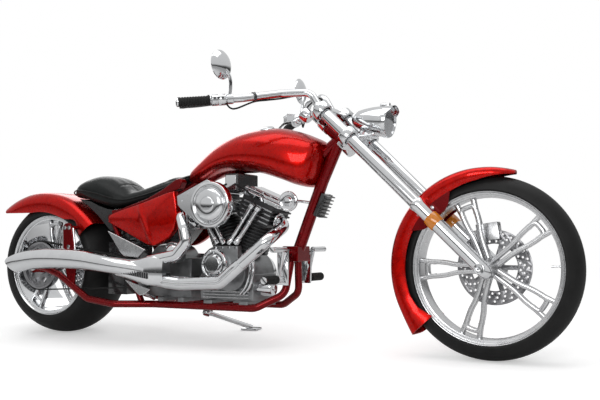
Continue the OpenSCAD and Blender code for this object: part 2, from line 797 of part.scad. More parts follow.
// Both axles are hollow, so that a lifting stand's pin can be pushed in at either end
axle_bore_r = 8;
module rear_axle() {
    color(chrome_grey) difference() {
        union() {
            across(rear_axle_at, rear_axle_r, -stay_y - 7, stay_y + 7);
            both_sides() across(rear_axle_at, 24, -stay_y - 7 - axle_nut_l, -stay_y - 7);
            // Spacers between the wheel and the plates
            across(rear_axle_at, 20, -stay_y + 7, -belt_outer_y - side_gap);
            across(rear_axle_at, 20, rear_disc_y + 8 + side_gap, stay_y - 7);
        }
        across(rear_axle_at, axle_bore_r, -2 * stay_y, 2 * stay_y);
    }
}

rear_caliper_angle = 52;
module rear_caliper() {
    far = rear_disc_r - 8;
    color(chrome_grey) translate(rear_axle_at) rotate([0, -rear_caliper_angle, 0]) {
        difference() {
            translate([far - 44, rear_disc_y - 26, -50]) cube([82, 52, 100]);
            translate([far - 50, rear_disc_y - disc_t / 2 - caliper_gap, -60])
                cube([64, disc_t + 2 * caliper_gap, 120]);
        }
        // Arm to the axle plate
        translate([24, rear_disc_y + 26, -18]) cube([far - 10, stay_y - 7 - rear_disc_y - 26, 36]);
    }
}

// ---- Fork and front wheel ----

module steering_stem() {
    color(chrome_grey) in_fork() {
        translate([0, 0, head_low_s - 3]) cylinder(h = head_l + 6, r = stem_r);
        translate([0, 0, upper_clamp_s + clamp_t / 2]) cylinder(h = 14, r = 22);
    }
}

module clamp_plate(s) {
    in_fork() difference() {
        translate([0, 0, s - clamp_t / 2]) linear_extrude(clamp_t) union() {
            circle(34);
            translate([-6, -leg_y]) square([fork_offset + 24, 2 * leg_y]);
            for (side = [-1, 1]) translate([fork_offset, side * leg_y]) circle(leg_r + 12);
        }
        for (side = [-1, 1])
            translate([fork_offset, side * leg_y, s - clamp_t]) cylinder(h = 2 * clamp_t, r = leg_r);
    }
}
module triple_clamps() { color(chrome_grey) { clamp_plate(lower_clamp_s); clamp_plate(upper_clamp_s); } }

marker_s = 252;
marker_l = 44;
module fork_legs() {
    color(chrome_grey) in_fork() for (side = [-1, 1]) translate([fork_offset, side * leg_y, 0]) difference() {
        union() {
            translate([0, 0, -42]) cylinder(h = 24, r1 = leg_r - 12, r2 = leg_r);
            translate([0, 0, -18]) cylinder(h = leg_top_s + 18, r = leg_r);
            translate([0, 0, leg_top_s]) cylinder(h = 8, r1 = leg_r, r2 = leg_r - 8);
        }
        rotate([90, 0, 0]) cylinder(h = 100, r = front_axle_r + run_gap, center = true);
    }
}
module marker_bands() {
    color(amber) in_fork() for (side = [-1, 1]) translate([fork_offset, side * leg_y, marker_s - marker_l / 2])
        difference() {
            cylinder(h = marker_l, r = leg_r + 2);
            translate([0, 0, -1]) cylinder(h = marker_l + 2, r = leg_r + run_gap);
        }
}

bar_r = 16;
riser_y = 56;
// The bar's lower ends are sunk in the clamp and cut off at its top face
riser_foot = on_fork(34.5, -riser_y, upper_clamp_s + clamp_t / 2 - 6);
bar_path = [
    riser_foot,
    on_fork(60, -riser_y - 4, upper_clamp_s + 116),
    on_fork(-17, -riser_y - 69, upper_clamp_s + 187),
    on_fork(-110, -riser_y - 209, upper_clamp_s + 236),
    on_fork(-261, -riser_y - 384, upper_clamp_s + 354),
];
bar_end = bar_path[4];
// The middle of the machine seen from above; the bar's ends are its widest places
mid_x = (wheelbase + front_tyre_r - rear_tyre_r) / 2;
mid_y = bar_end[2] * sin(lean);
bar_run = unit(bar_path[4] - bar_path[3]);
grip_l = 128;
grip_r = 19;
module bar_tube() { bent_tube(bar_path, bar_r, 44); }
module handlebars() {
    color(chrome_grey) both_sides() difference() {
        bar_tube();
        in_fork() translate([-60, -200, upper_clamp_s - clamp_t / 2]) cube([180, 400, clamp_t]);
    }
}
module grips() {
    color(rubber_black) both_sides() difference() {
        rod(bar_end - bar_run * grip_l, bar_end + bar_run * 8, grip_r);
        rod(bar_end - bar_run * (grip_l + 40), bar_end, bar_r);
    }
}

housing_at = bar_end - bar_run * (grip_l + 34);
bar_front = unit(cross([0, 0, 1], bar_run));
module bar_controls() {
    lever_foot = housing_at - bar_front * 34;
    color(chrome_grey) both_sides() {
        difference() {
            union() {
                rod(housing_at - bar_run * 30, housing_at + bar_run * 30, 24);
                // Reservoir
                centred_box(housing_at - bar_front * 42 + [0, 0, 6], [52, 38, 34]);
            }
            rod(housing_at - bar_run * 80, bar_end, bar_r);
        }
        // Lever
        rod(lever_foot - bar_front * 10 + [0, 0, -6], lever_foot - bar_front * 26 + bar_run * 150 + [0, 0, -14], 6);
    }
}

mirror_stem_at = bar_end - bar_run * (grip_l + 80);
module mirrors() {
    head_at = mirror_stem_at + [-16, -34, 136];
    face = unit([-1, 0.1, -0.05]);
    color(chrome_grey) both_sides() {
        difference() {
            rod(mirror_stem_at - bar_run * 14, mirror_stem_at + bar_run * 14, 22);
            rod(mirror_stem_at - bar_run * 30, bar_end, bar_r + run_gap);
        }
        bent_tube([mirror_stem_at + [0, 0, 18], mirror_stem_at + [6, -4, 70], head_at + [8, 0, -10]], 6, 40);
        rod(head_at - face * 8, head_at + face * 6, 60);
    }
}

gauge_at = on_fork(-50, 66, upper_clamp_s + 104);
module gauge() {
    color(chrome_grey) {
        rod(gauge_at, gauge_at + unit([-0.8, 0, 0.6]) * 40, 30);
        difference() {
            rod(gauge_at + unit([-0.8, 0, 0.6]) * 12, on_fork(36, riser_y, upper_clamp_s + 52), 8);
            mirror([0, 1, 0]) rod(bar_path[0], bar_path[1], bar_r);
            rod(gauge_at, gauge_at + unit([-0.8, 0, 0.6]) * 40, 30);
        }
    }
}

lamp_front = on_fork(190, 0, lower_clamp_s - 59);
lamp_back = lamp_front - [170, 0, -22];
module headlamp() {
    color(chrome_grey) {
        along(lamp_back, lamp_front) rotate_extrude() polygon([
            [0, 0], [22, 6], [42, 40], [56, 90], [62, 140], [64, 172], [52, 176], [0, 176],
        ]);
        // Bracket back to the lower clamp
        difference() {
            rod(lamp_back + [60, 0, -30], on_fork(fork_offset, 0, lower_clamp_s), 12);
            clamp_envelope(lower_clamp_s);
            along(lamp_back, lamp_front) rotate_extrude() polygon([
                [0, 0], [22, 6], [42, 40], [56, 90], [62, 140], [64, 172], [52, 176], [0, 176],
            ]);
        }
    }
}
module clamp_envelope(s) {
    in_fork() translate([-40, -leg_y, s - clamp_t / 2]) cube([fork_offset + 40 + 24 - 6, 2 * leg_y, clamp_t]);
}

front_fender_r = 376;
front_fender_half_w = leg_y - leg_r - 4;
front_skirt = 62;
flange_r = 262;
module front_fender() {
    color(candy_red) {
        translate(front_axle_at) rotate([90, 0, 0]) rotate([0, 0, 74])
            rotate_extrude(angle = 148)
            arch_section(front_fender_r, front_fender_half_w, front_skirt, 24, fender_t);
        // Side flanges to the fork legs
        for (side = [-1, 1]) translate([front_axle_at[0], 0, front_axle_at[2]])
            rotate([90, 0, 0]) rotate([0, 0, 134 - 18])
            rotate_extrude(angle = 36)
            translate([flange_r, side * (front_fender_half_w - fender_t / 2) - fender_t / 2])
            square([front_fender_r - front_skirt - flange_r, fender_t]);
        both_sides() difference() {
            for (s = [flange_r + 20, flange_r + 50])
                rod(on_fork(fork_offset, -front_fender_half_w, s), on_fork(fork_offset, -leg_y, s), 8);
            rod(on_fork(fork_offset, -leg_y, 0), on_fork(fork_offset, -leg_y, leg_top_s), leg_r);
        }
    }
}

module front_axle() {
    color(chrome_grey) difference() {
        union() {
            across(front_axle_at, front_axle_r, -leg_y - leg_r - 6, leg_y + leg_r + 6);
            both_sides() across(front_axle_at, 18, -leg_y + leg_r, -front_hub_half_w - side_gap);
            both_sides() across(front_axle_at, 20, -leg_y - leg_r - 12, -leg_y - leg_r);
        }
        across(front_axle_at, axle_bore_r, -2 * leg_y, 2 * leg_y);
    }
}

front_hub_r = 38;
front_hub_half_w = front_disc_y + 5;
module front_rim() {
    color(alloy_grey) difference() {
        union() {
            rim_ring(front_axle_at, front_rim_r, front_rim_half_w, 7);
            across(front_axle_at, front_hub_r, -front_hub_half_w, front_hub_half_w - 8);
            spokes(front_axle_at, front_hub_r - 8, front_rim_r - 28, 30, -17, 17, 38);
        }
        hub_bore(front_axle_at, front_axle_r + run_gap, front_tyre_w);
    }
}
module front_tyre() {
    color(rubber_black) translate(front_axle_at) rotate([90, 0, 0])
        rotate_extrude() tyre_section(front_tyre_r, front_tyre_half_w, front_crown_r, front_rim_r, front_rim_half_w);
}
module front_disc() {
    color("dimgray") difference() {
        union() {
            drilled_disc(front_axle_at, front_disc_r, 90, front_disc_y - disc_t / 2, front_disc_y + disc_t / 2, 3);
            side_plate(front_disc_y - disc_t / 2, front_disc_y + disc_t / 2)
                translate([front_axle_at[0], front_axle_at[2]])
                for (i = [0:4]) rotate(i * 72) translate([20, -9]) square([74, 18]);
            across(front_axle_at, front_hub_r, front_hub_half_w - 8, front_hub_half_w);
        }
        hub_bore(front_axle_at, front_axle_r + run_gap, front_tyre_w);
    }
}

front_caliper_angle = 98;
module front_caliper() {
    low = front_disc_r - 40;
    color(chrome_grey) translate(front_axle_at) rotate([0, -front_caliper_angle, 0]) difference() {
        union() {
            translate([low, front_disc_y - 24, -42]) cube([66, 50, 84]);
            // Arm back to the fork leg
            translate([low + 10, front_disc_y + 8, 30]) cube([36, 18, 52]);
        }
        translate([low - 10, front_disc_y - disc_t / 2 - caliper_gap, -100])
            cube([56, disc_t + 2 * caliper_gap, 200]);
        rotate([0, front_caliper_angle, 0]) translate(-front_axle_at)
            rod(on_fork(fork_offset, leg_y, 0), on_fork(fork_offset, leg_y, 300), leg_r);
    }
}

// ---- Small pieces on the frame ----

module regulator() {
    front = junction_at + [106, 0, 212];
    color(engine_black) difference() {
        union() {
            placed(front, [0.91, 0, -0.41], [0, 1, 0], [0.41, 0, 0.91]) {
                translate([16, -38, -50]) cube([16, 76, 100]);
                for (i = [0:6]) translate([32, -38, -48 + i * 15]) cube([14, 76, 5]);
                translate([-20, -12, -12]) cube([36, 24, 24]);
            }
        }
        down_tube_envelope();
    }
}
peg_at = [rail_front_x + 10, 0, 288];
module foot_controls(lever_tip) {
    // Plate on the junction's side, peg and pedal
    side_plate(-junction_size[1] / 2 - 52, -junction_size[1] / 2 - 40) polygon([
        [peg_at[0] - 22, peg_at[2] - 24], [peg_at[0] + 26, peg_at[2] - 24],
        [junction_at[0] + 20, junction_at[2] + 20], [junction_at[0] - 30, junction_at[2] + 20],
    ]);
    across(junction_at + [0, 0, 4], 12, -junction_size[1] / 2 - 40, -junction_size[1] / 2);
    across(peg_at, 14, -250, -junction_size[1] / 2 - 52);
    translate([0, -130, 0]) rod(peg_at + [0, 0, 10], [lever_tip[0], 0, lever_tip[2]], 7);
    across(lever_tip, 11, -230, -120);
}
module right_foot_controls() { color(chrome_grey) foot_controls([peg_at[0] + 26, 0, peg_at[2] + 122]); }
module left_foot_controls() { color(chrome_grey) mirror([0, 1, 0]) foot_controls([peg_at[0] + 26, 0, peg_at[2] + 122]); }

// ---- Side stand ----

stand_pivot = [760, rail_y + 6, rail_z - 50];
stand_foot_y = 290;
stand_foot_x = 905;
floor_z = stand_foot_y * tan(lean) - crown_lift / cos(lean);
stand_down = unit([stand_foot_x - stand_pivot[0], stand_foot_y - stand_pivot[1], floor_z + 12 - stand_pivot[2]]);
stand_up = unit([-0.93, 0.30, -0.03]);
stand_axis = unit(cross(stand_down, stand_up));
stand_side = unit(cross(stand_axis, stand_down));
eye_half_h = 11;
pin_r = 8;
stand_l = norm([stand_foot_x, stand_foot_y, floor_z + 12] - stand_pivot);

// Local X runs down the leg and local Z is the pivot
module at_stand() { placed(stand_pivot, stand_down, stand_side, stand_axis) children(); }

module stand_bracket() {
    color(frame_red) difference() {
        union() {
            at_stand() {
                translate([0, 0, -eye_half_h - side_gap]) cylinder(h = 2 * eye_half_h + side_gap + 20, r = pin_r);
                translate([0, 0, -eye_half_h - side_gap - 6]) cylinder(h = 6, r = 15);
                translate([0, 0, eye_half_h + side_gap]) cylinder(h = 10, r = 24);
            }
            rod(stand_pivot + stand_axis * (eye_half_h + 16), [stand_pivot[0] + 4, rail_y, rail_z], 14);
        }
        mirror([0, 1, 0]) lower_rail();
    }
}

module side_stand() {
    color(chrome_grey) difference() {
        union() {
            at_stand() {
                translate([0, 0, -eye_half_h]) cylinder(h = 2 * eye_half_h, r = 20);
                translate([16, 0, 0]) rotate([0, 90, 0]) cylinder(h = stand_l - 16, r = 11);
            }
            // Foot plate, flat on the floor when the machine leans
            translate([stand_foot_x, stand_foot_y, floor_z]) rotate([lean, 0, 0]) translate([-46, -26, 0])
                cube([84, 52, 10]);
        }
        at_stand() translate([0, 0, -30]) cylinder(h = 60, r = pin_r + run_gap);
        // Nothing reaches below the floor
        translate([stand_foot_x, stand_foot_y, floor_z]) rotate([lean, 0, 0]) translate([-300, -300, -100])
            cube([600, 600, 100]);
    }
}

// ---- Output ----

as_parked() head_tube();
as_parked() backbone();
as_parked() down_tube();
as_parked() right_lower_rail();
as_parked() left_lower_rail();
as_parked() seat_posts();
as_parked() axle_plates();
as_parked() stand_bracket();
as_parked() engine_case();
as_parked() front_cylinder();
as_parked() rear_cylinder();
as_parked() rocker_boxes();
as_parked() pushrod_tubes();
as_parked() cam_cover();
as_parked() intake();
as_parked() air_cleaner();
as_parked() primary_cover();
as_parked() transmission();
as_parked() drive_belt();
as_parked() front_exhaust_pipe();
as_parked() rear_exhaust_pipe();
as_parked() muffler();
as_parked() fuel_tank();
as_parked() seat();
as_parked() oil_tank();
as_parked() side_panels();
as_parked() trim_plates();
as_parked() rear_fender();
as_parked() fender_struts();
as_parked() tail_lamp();
as_parked() rear_axle();
as_parked() rear_caliper();
as_parked() regulator();
as_parked() right_foot_controls();
as_parked() left_foot_controls();
as_parked() rear_rim();
as_parked() rear_tyre();
as_parked() rear_disc();
as_parked() rear_pulley();
as_parked() steering_stem();
as_parked() triple_clamps();
as_parked() fork_legs();
as_parked() marker_bands();
as_parked() handlebars();
as_parked() grips();
as_parked() bar_controls();
as_parked() mirrors();
as_parked() gauge();
as_parked() headlamp();
as_parked() front_fender();
as_parked() front_axle();
as_parked() front_caliper();
as_parked() front_rim();
as_parked() front_tyre();
as_parked() front_disc();
as_parked() side_stand();
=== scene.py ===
"""Looks of a long chopper motorcycle that leans on its side stand.

Sizes are in millimetres on the upright machine: x forward from under the rear axle, y to the
left, z up. A Stance leans them onto the parked machine, in metres.
"""

import json
import logging
import math
from dataclasses import dataclass, field
from enum import Enum

import bmesh
import bpy
import numpy as np
from mathutils import Matrix, Vector

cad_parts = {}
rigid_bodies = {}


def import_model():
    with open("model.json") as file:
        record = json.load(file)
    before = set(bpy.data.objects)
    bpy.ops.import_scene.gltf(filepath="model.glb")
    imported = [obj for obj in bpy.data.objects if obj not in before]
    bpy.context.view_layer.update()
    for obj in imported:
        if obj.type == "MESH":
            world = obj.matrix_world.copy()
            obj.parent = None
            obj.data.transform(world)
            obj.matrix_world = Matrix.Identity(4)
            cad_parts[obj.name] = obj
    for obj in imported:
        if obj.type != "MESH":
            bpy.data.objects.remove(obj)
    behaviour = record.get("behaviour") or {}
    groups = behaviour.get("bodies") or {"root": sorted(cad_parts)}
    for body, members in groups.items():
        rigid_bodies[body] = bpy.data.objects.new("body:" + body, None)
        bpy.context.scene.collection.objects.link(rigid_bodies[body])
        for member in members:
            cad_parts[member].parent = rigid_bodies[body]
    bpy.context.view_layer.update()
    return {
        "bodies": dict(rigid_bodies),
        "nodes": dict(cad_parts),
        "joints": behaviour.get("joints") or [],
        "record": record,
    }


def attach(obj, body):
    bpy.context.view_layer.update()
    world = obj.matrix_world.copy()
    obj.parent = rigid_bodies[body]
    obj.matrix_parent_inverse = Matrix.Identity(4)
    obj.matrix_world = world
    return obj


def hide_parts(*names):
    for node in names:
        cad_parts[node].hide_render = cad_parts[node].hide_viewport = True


LOG = logging.getLogger("chopper")
MM = 0.001
Array = np.ndarray


# ---- Lines and places ----


def unit(v: Array) -> Array:
    """A vector of length one."""
    v = np.asarray(v, float)
    return v / np.linalg.norm(v)


def at(*xyz: float) -> Array:
    """A point or vector as an array."""
    return np.array(xyz, float)


@dataclass(frozen=True)
class Stance:
    """How the upright machine stands in the row frame."""

    origin: Vector
    ahead: Vector
    left: Vector
    up: Vector

    @classmethod
    def of(cls, joints: list, wheel_radius: float) -> "Stance":
        """Reads the lean from the rear wheel's joint.

        Args:
            joints: The frame's joints.
            wheel_radius: The rear tyre's radius.

        Returns:
            The stance.
        """
        spin = next(j for j in joints if j["name"] == "rear_wheel_spin")
        left = Vector(spin["axis"]).normalized()
        ahead = Vector((1, 0, 0))
        ahead = (ahead - ahead.dot(left) * left).normalized()
        up = ahead.cross(left)
        return cls(Vector(spin["pos_m"]) - up * wheel_radius * MM, ahead, left, up)

    def matrix(self, scale: float = MM) -> Matrix:
        """The matrix from the upright machine to the row frame."""
        columns = [self.ahead * scale, self.left * scale, self.up * scale]
        rows = [[c[i] for c in columns] + [self.origin[i]] for i in range(3)]
        return Matrix(rows + [[0, 0, 0, 1]])

    def place(self, point: Array) -> Vector:
        """A point of the upright machine in the row frame, in metres."""
        return self.matrix() @ Vector([float(c) for c in point])


@dataclass(frozen=True)
class Layout:
    """Main places of the machine."""

    rear_radius: float = 330.0
    front_radius: float = 345.0
    wheelbase: float = 2132.0
    rake: float = math.radians(46)
    fork_offset: float = 50.0
    leg_y: float = 105.0
    leg_r: float = 28.0
    lower_clamp: float = 745.0
    upper_clamp: float = 905.0
    head_low: float = 766.0
    head_high: float = 884.0
    crank: tuple = (1029.8, 0.0, 300.0)
    vee_half: float = math.radians(22.5)

    @property
    def fork_up(self) -> Array:
        """The steering axis."""
        return at(-math.sin(self.rake), 0, math.cos(self.rake))

    @property
    def fork_ahead(self) -> Array:
        """Square to the steering axis, forward."""
        return at(math.cos(self.rake), 0, math.sin(self.rake))

    def on_fork(self, n: float, y: float, s: float) -> Array:
        """A place n ahead of the steering axis and s up along it."""
        axle = at(self.wheelbase, 0, self.front_radius)
        foot = axle - self.fork_offset * self.fork_ahead
        return foot + n * self.fork_ahead + at(0, y, 0) + s * self.fork_up

    def on_cylinder(self, side: int, along: float, y: float, up: float) -> Array:
        """A place on the front (1) or rear (-1) cylinder."""
        c, s = math.cos(self.vee_half), math.sin(self.vee_half)
        base = at(*self.crank) + at(along * c, y, -side * along * s)
        return base + up * at(side * s, 0, c)


def bent_route(points: list, bend: float, step: float = 7.0) -> Array:
    """A line through points with round elbows.

    Args:
        points: The corners.
        bend: The radius of the elbows.
        step: Degrees between two stops in an elbow.

    Returns:
        The stops along the line.
    """
    p = [np.asarray(q, float) for q in points]
    stops = [p[0]]
    for i in range(1, len(p) - 1):
        u, v = unit(p[i] - p[i - 1]), unit(p[i + 1] - p[i])
        turn = math.acos(float(np.clip(u @ v, -1, 1)))
        if turn < 0.01:
            stops.append(p[i])
            continue
        cut = bend * math.tan(turn / 2)
        inward = np.cross(unit(np.cross(u, v)), u)
        centre = p[i] - u * cut + inward * bend
        count = max(2, math.ceil(math.degrees(turn) / step))
        for k in range(count + 1):
            a = turn * k / count
            stops.append(centre + bend * (math.sin(a) * u - math.cos(a) * inward))
    stops.append(p[-1])
    return np.array(stops)


def smooth_route(points: list, per_span: int = 8) -> Array:
    """A smooth curve through points, as a Catmull-Rom spline.

    Args:
        points: What the curve passes through.
        per_span: Steps between two points.

    Returns:
        The curve's stops.
    """
    p = np.array(points, float)
    p = np.vstack([2 * p[0] - p[1], p, 2 * p[-1] - p[-2]])
    out = []
    for i in range(1, len(p) - 2):
        for t in np.linspace(0, 1, per_span, endpoint=False):
            a, b, c, d = p[i - 1], p[i], p[i + 1], p[i + 2]
            out.append(0.5 * (2 * b + (c - a) * t + (2 * a - 5 * b + 4 * c - d) * t**2
                              + (3 * b - a - 3 * c + d) * t**3))
    out.append(p[-2])
    return np.array(out)


def directions(stops: Array) -> Array:
    """The way at each stop of a line."""
    ways = np.gradient(stops, axis=0)
    return ways / np.linalg.norm(ways, axis=1)[:, None]


def side_of(way: Array) -> Array:
    """Some direction square to a way."""
    base = at(0, 0, 1) if abs(way[2]) < 0.9 else at(0, 1, 0)
    return unit(np.cross(base, way))


def carried_sides(stops: Array, first: Array | None = None) -> list:
    """Side directions carried along a line without twist.

    Args:
        stops: The line.
        first: The first side direction, or none.

    Returns:
        A side direction for each stop.
    """
    ways = directions(stops)
    side = side_of(ways[0]) if first is None else np.asarray(first, float)
    sides = []
    for way in ways:
        side = unit(side - (side @ way) * way)
        sides.append(side)
    return sides


# ---- Meshes ----


class Draft:
    """Gathers points and faces on the upright machine and turns them into a piece."""

    def __init__(self, stance: Stance) -> None:
        """Starts an empty draft for a stance."""
        self.stance = stance
        self.points: list = []
        self.faces: list = []

    def add(self, points: Array, faces: list) -> "Draft":
        """Adds a mesh."""
        start = len(self.points)
        self.points.extend([tuple(float(c) for c in p) for p in points])
        self.faces.extend([tuple(start + i for i in f) for f in faces])
        return self

    def rings(self, rings: list, caps: bool = True, closed: bool = True,
              joined: bool = False) -> "Draft":
        """Adds a skin over rings of the same count.

        Args:
            rings: The rings of points.
            caps: Whether both ends are closed.
            closed: Whether each ring closes on itself.
            joined: Whether the last ring meets the first.

        Returns:
            The draft.
        """
        n, m = len(rings[0]), len(rings)
        faces = []
        for i in range(m if joined else m - 1):
            for j in range(n if closed else n - 1):
                a, b = i * n + j, i * n + (j + 1) % n
                c, d = (i + 1) % m * n + (j + 1) % n, (i + 1) % m * n + j
                faces.append((a, b, c, d))
        if caps and not joined:
            faces.append(tuple(range(n))[::-1])
            faces.append(tuple((m - 1) * n + j for j in range(n)))
        return self.add(np.concatenate(rings), faces)

    def tube(self, stops: Array, radius: float | list, sides: int = 28, caps: bool = True,
             squash: float = 1.0, first: Array | None = None) -> "Draft":
        """Adds a tube along stops.

        Args:
            stops: The centre line.
            radius: One radius, or one for each stop.
            sides: Points in each ring.
            caps: Whether the ends are closed.
            squash: How flat the section is across its first side.
            first: The first side direction.

        Returns:
            The draft.
        """
        stops = np.asarray(stops, float)
        radii = [radius] * len(stops) if np.isscalar(radius) else radius
        ways, sides_at = directions(stops), carried_sides(stops, first)
        rings = []
        for p, way, side, r in zip(stops, ways, sides_at, radii):
            other = np.cross(way, side)
            angle = [2 * math.pi * k / sides for k in range(sides)]
            rings.append(np.array([p + r * (squash * math.cos(a) * side + math.sin(a) * other)
                                   for a in angle]))
        return self.rings(rings, caps)

    def rod(self, a: Array, b: Array, r: float, sides: int = 28) -> "Draft":
        """Adds a straight round bar."""
        return self.tube(np.array([a, b], float), r, sides)

    def turned(self, base: Array, way: Array, outline: list, sides: int = 64,
               ring: bool = False) -> "Draft":
        """Adds a turned shape.

        Args:
            base: A point on the axis.
            way: The axis.
            outline: Pairs of distance along the axis and radius.
            sides: Points round the axis.
            ring: Whether the outline closes on itself, as a tyre's does.

        Returns:
            The draft.
        """
        way = unit(way)
        side = side_of(way)
        other = np.cross(way, side)
        rings = []
        for along, r in outline:
            centre = np.asarray(base, float) + along * way
            rings.append(np.array([
                centre + max(r, 0.01) * (math.cos(a) * side + math.sin(a) * other)
                for a in np.linspace(0, 2 * math.pi, sides, endpoint=False)]))
        return self.rings(rings, caps=not ring, joined=ring)

    def slab(self, outline: list, origin: Array, x: Array, y: Array, thick: float) -> "Draft":
        """Adds a plate: an outline on two directions, pulled along their cross product."""
        x, y = unit(x), unit(y)
        z = np.cross(x, y)
        low = np.array([np.asarray(origin, float) + u * x + v * y for u, v in outline])
        return self.rings([low, low + thick * z])

    def side_plate(self, outline: list, y0: float, y1: float) -> "Draft":
        """Adds a plate in the side view, from y0 to y1."""
        return self.slab(outline, at(0, y1, 0), at(1, 0, 0), at(0, 0, 1), y1 - y0)

    def block(self, centre: Array, x: Array, y: Array, size: tuple) -> "Draft":
        """Adds a box on its own directions."""
        a, b, c = (s / 2 for s in size)
        z = np.cross(unit(x), unit(y))
        outline = [(-a, -b), (a, -b), (a, b), (-a, b)]
        return self.slab(outline, np.asarray(centre, float) - c * z, x, y, 2 * c)

    def mirrored(self) -> "Draft":
        """Adds the same again on the other side of the machine."""
        points = [(x, -y, z) for x, y, z in self.points]
        return self.add(points, [f[::-1] for f in self.faces])

    def piece(self, name: str, material: bpy.types.Material, smooth: float = 35,
              bevel: float = 0, subdivide: int = 0) -> bpy.types.Object:
        """Makes the piece.

        Args:
            name: Its name.
            material: Its finish.
            smooth: Edges sharper than this many degrees stay sharp.
            bevel: The rounding of its edges.
            subdivide: Levels of subdivision.

        Returns:
            The object, at the origin.
        """
        mesh = bpy.data.meshes.new(name)
        mesh.from_pydata(self.points, [], self.faces)
        work = bmesh.new()
        work.from_mesh(mesh)
        bmesh.ops.remove_doubles(work, verts=work.verts, dist=0.02)
        bmesh.ops.recalc_face_normals(work, faces=work.faces)
        work.to_mesh(mesh)
        work.free()
        mesh.transform(self.stance.matrix())
        mesh.materials.append(material)
        piece = bpy.data.objects.new(name, mesh)
        bpy.context.scene.collection.objects.link(piece)
        round_edges(piece, bevel, smooth)
        if subdivide:
            add_subdivision(piece, subdivide)
        return piece


def round_edges(piece: bpy.types.Object, bevel: float, smooth: float) -> None:
    """Shades a piece smooth up to an angle and rounds its sharper edges.

    Args:
        piece: The piece.
        bevel: The rounding in millimetres, or 0.
        smooth: The angle in degrees.
    """
    mesh = piece.data
    mesh.shade_smooth()
    if bevel:
        rounding = piece.modifiers.new("edges", "BEVEL")
        rounding.width = bevel * MM
        rounding.segments = 2
        rounding.limit_method = "ANGLE"
        rounding.angle_limit = math.radians(smooth)
        rounding.harden_normals = True
    else:
        mesh.set_sharp_from_angle(angle=math.radians(smooth))


def add_subdivision(piece: bpy.types.Object, levels: int) -> None:
    """Adds a subdivision surface."""
    surface = piece.modifiers.new("surface", "SUBSURF")
    surface.levels = surface.render_levels = levels


def worked_copy(node: bpy.types.Object, name: str, material: bpy.types.Material,
                bevel: float = 1.5, smooth: float = 32) -> bpy.types.Object:
    """A copy of a frame node with rounded edges.

    Args:
        node: The frame's node.
        name: The copy's name.
        material: Its finish.
        bevel: The rounding in millimetres.
        smooth: Edges sharper than this many degrees are rounded.

    Returns:
        The copy.
    """
    mesh = node.data.copy()
    mesh.name = name
    work = bmesh.new()
    work.from_mesh(mesh)
    bmesh.ops.remove_doubles(work, verts=work.verts, dist=0.00002)
    bmesh.ops.dissolve_limit(work, angle_limit=math.radians(0.8), verts=work.verts,
                             edges=work.edges)
    work.to_mesh(mesh)
    work.free()
    mesh.materials.clear()
    mesh.materials.append(material)
    copy = bpy.data.objects.new(name, mesh)
    bpy.context.scene.collection.objects.link(copy)
    round_edges(copy, bevel, smooth)
    copy.modifiers["edges"].use_clamp_overlap = True
    return copy


# ---- Geometry Nodes ----


def wire(links: bpy.types.NodeLinks, *pairs: tuple) -> None:
    """Joins sockets, in order.

    Args:
        links: The tree's links.
        pairs: Pairs of an output and an input.
    """
    for source, target in pairs:
        links.new(source, target)


class Tree:
    """A Geometry Nodes tree under construction."""

    def __init__(self, name: str, inputs: dict) -> None:
        """Starts a tree with named inputs.

        Args:
            name: The tree's name.
            inputs: Names and socket kinds, after the geometry.
        """
        self.group = bpy.data.node_groups.new(name, "GeometryNodeTree")
        face = self.group.interface
        face.new_socket("Geometry", in_out="INPUT", socket_type="NodeSocketGeometry")
        self.ids = {}
        for label, kind in inputs.items():
            socket = face.new_socket(label, in_out="INPUT", socket_type="NodeSocket" + kind)
            self.ids[label] = socket.identifier
        face.new_socket("Geometry", in_out="OUTPUT", socket_type="NodeSocketGeometry")
        self.start = self.group.nodes.new("NodeGroupInput")
        self.end = self.group.nodes.new("NodeGroupOutput")

    def node(self, kind: str, **settings: object) -> bpy.types.Node:
        """Adds a node with settings."""
        made = self.group.nodes.new(kind)
        for key, value in settings.items():
            setattr(made, key, value)
        return made

    def close(self, geometry: bpy.types.NodeSocket) -> "Tree":
        """Realises the instances and sets the material.

        Args:
            geometry: What the tree has made.

        Returns:
            The tree.
        """
        real = self.node("GeometryNodeRealizeInstances")
        paint = self.node("GeometryNodeSetMaterial")
        wire(self.group.links, (geometry, real.inputs[0]),
             (real.outputs[0], paint.inputs["Geometry"]),
             (self.start.outputs["Material"], paint.inputs["Material"]),
             (paint.outputs[0], self.end.inputs[0]))
        return self

    def run(self, seed: bpy.types.Object, values: dict, name: str,
            place: Matrix | None = None, smooth: float = 35) -> bpy.types.Object:
        """Runs the tree on an object and keeps the plain result.

        Args:
            seed: The object that the tree works on; it is removed.
            values: The inputs' values.
            name: The result's name.
            place: Where the result goes.
            smooth: Edges sharper than this many degrees stay sharp.

        Returns:
            The result.
        """
        modifier = seed.modifiers.new("repeat", "NODES")
        modifier.node_group = self.group
        for label, value in values.items():
            modifier[self.ids[label]] = value
        graph = bpy.context.evaluated_depsgraph_get()
        mesh = bpy.data.meshes.new_from_object(seed.evaluated_get(graph))
        bpy.data.objects.remove(seed)
        mesh.name = name
        if place is not None:
            mesh.transform(place)
        mesh.shade_smooth()
        mesh.set_sharp_from_angle(angle=math.radians(smooth))
        made = bpy.data.objects.new(name, mesh)
        bpy.context.scene.collection.objects.link(made)
        return made


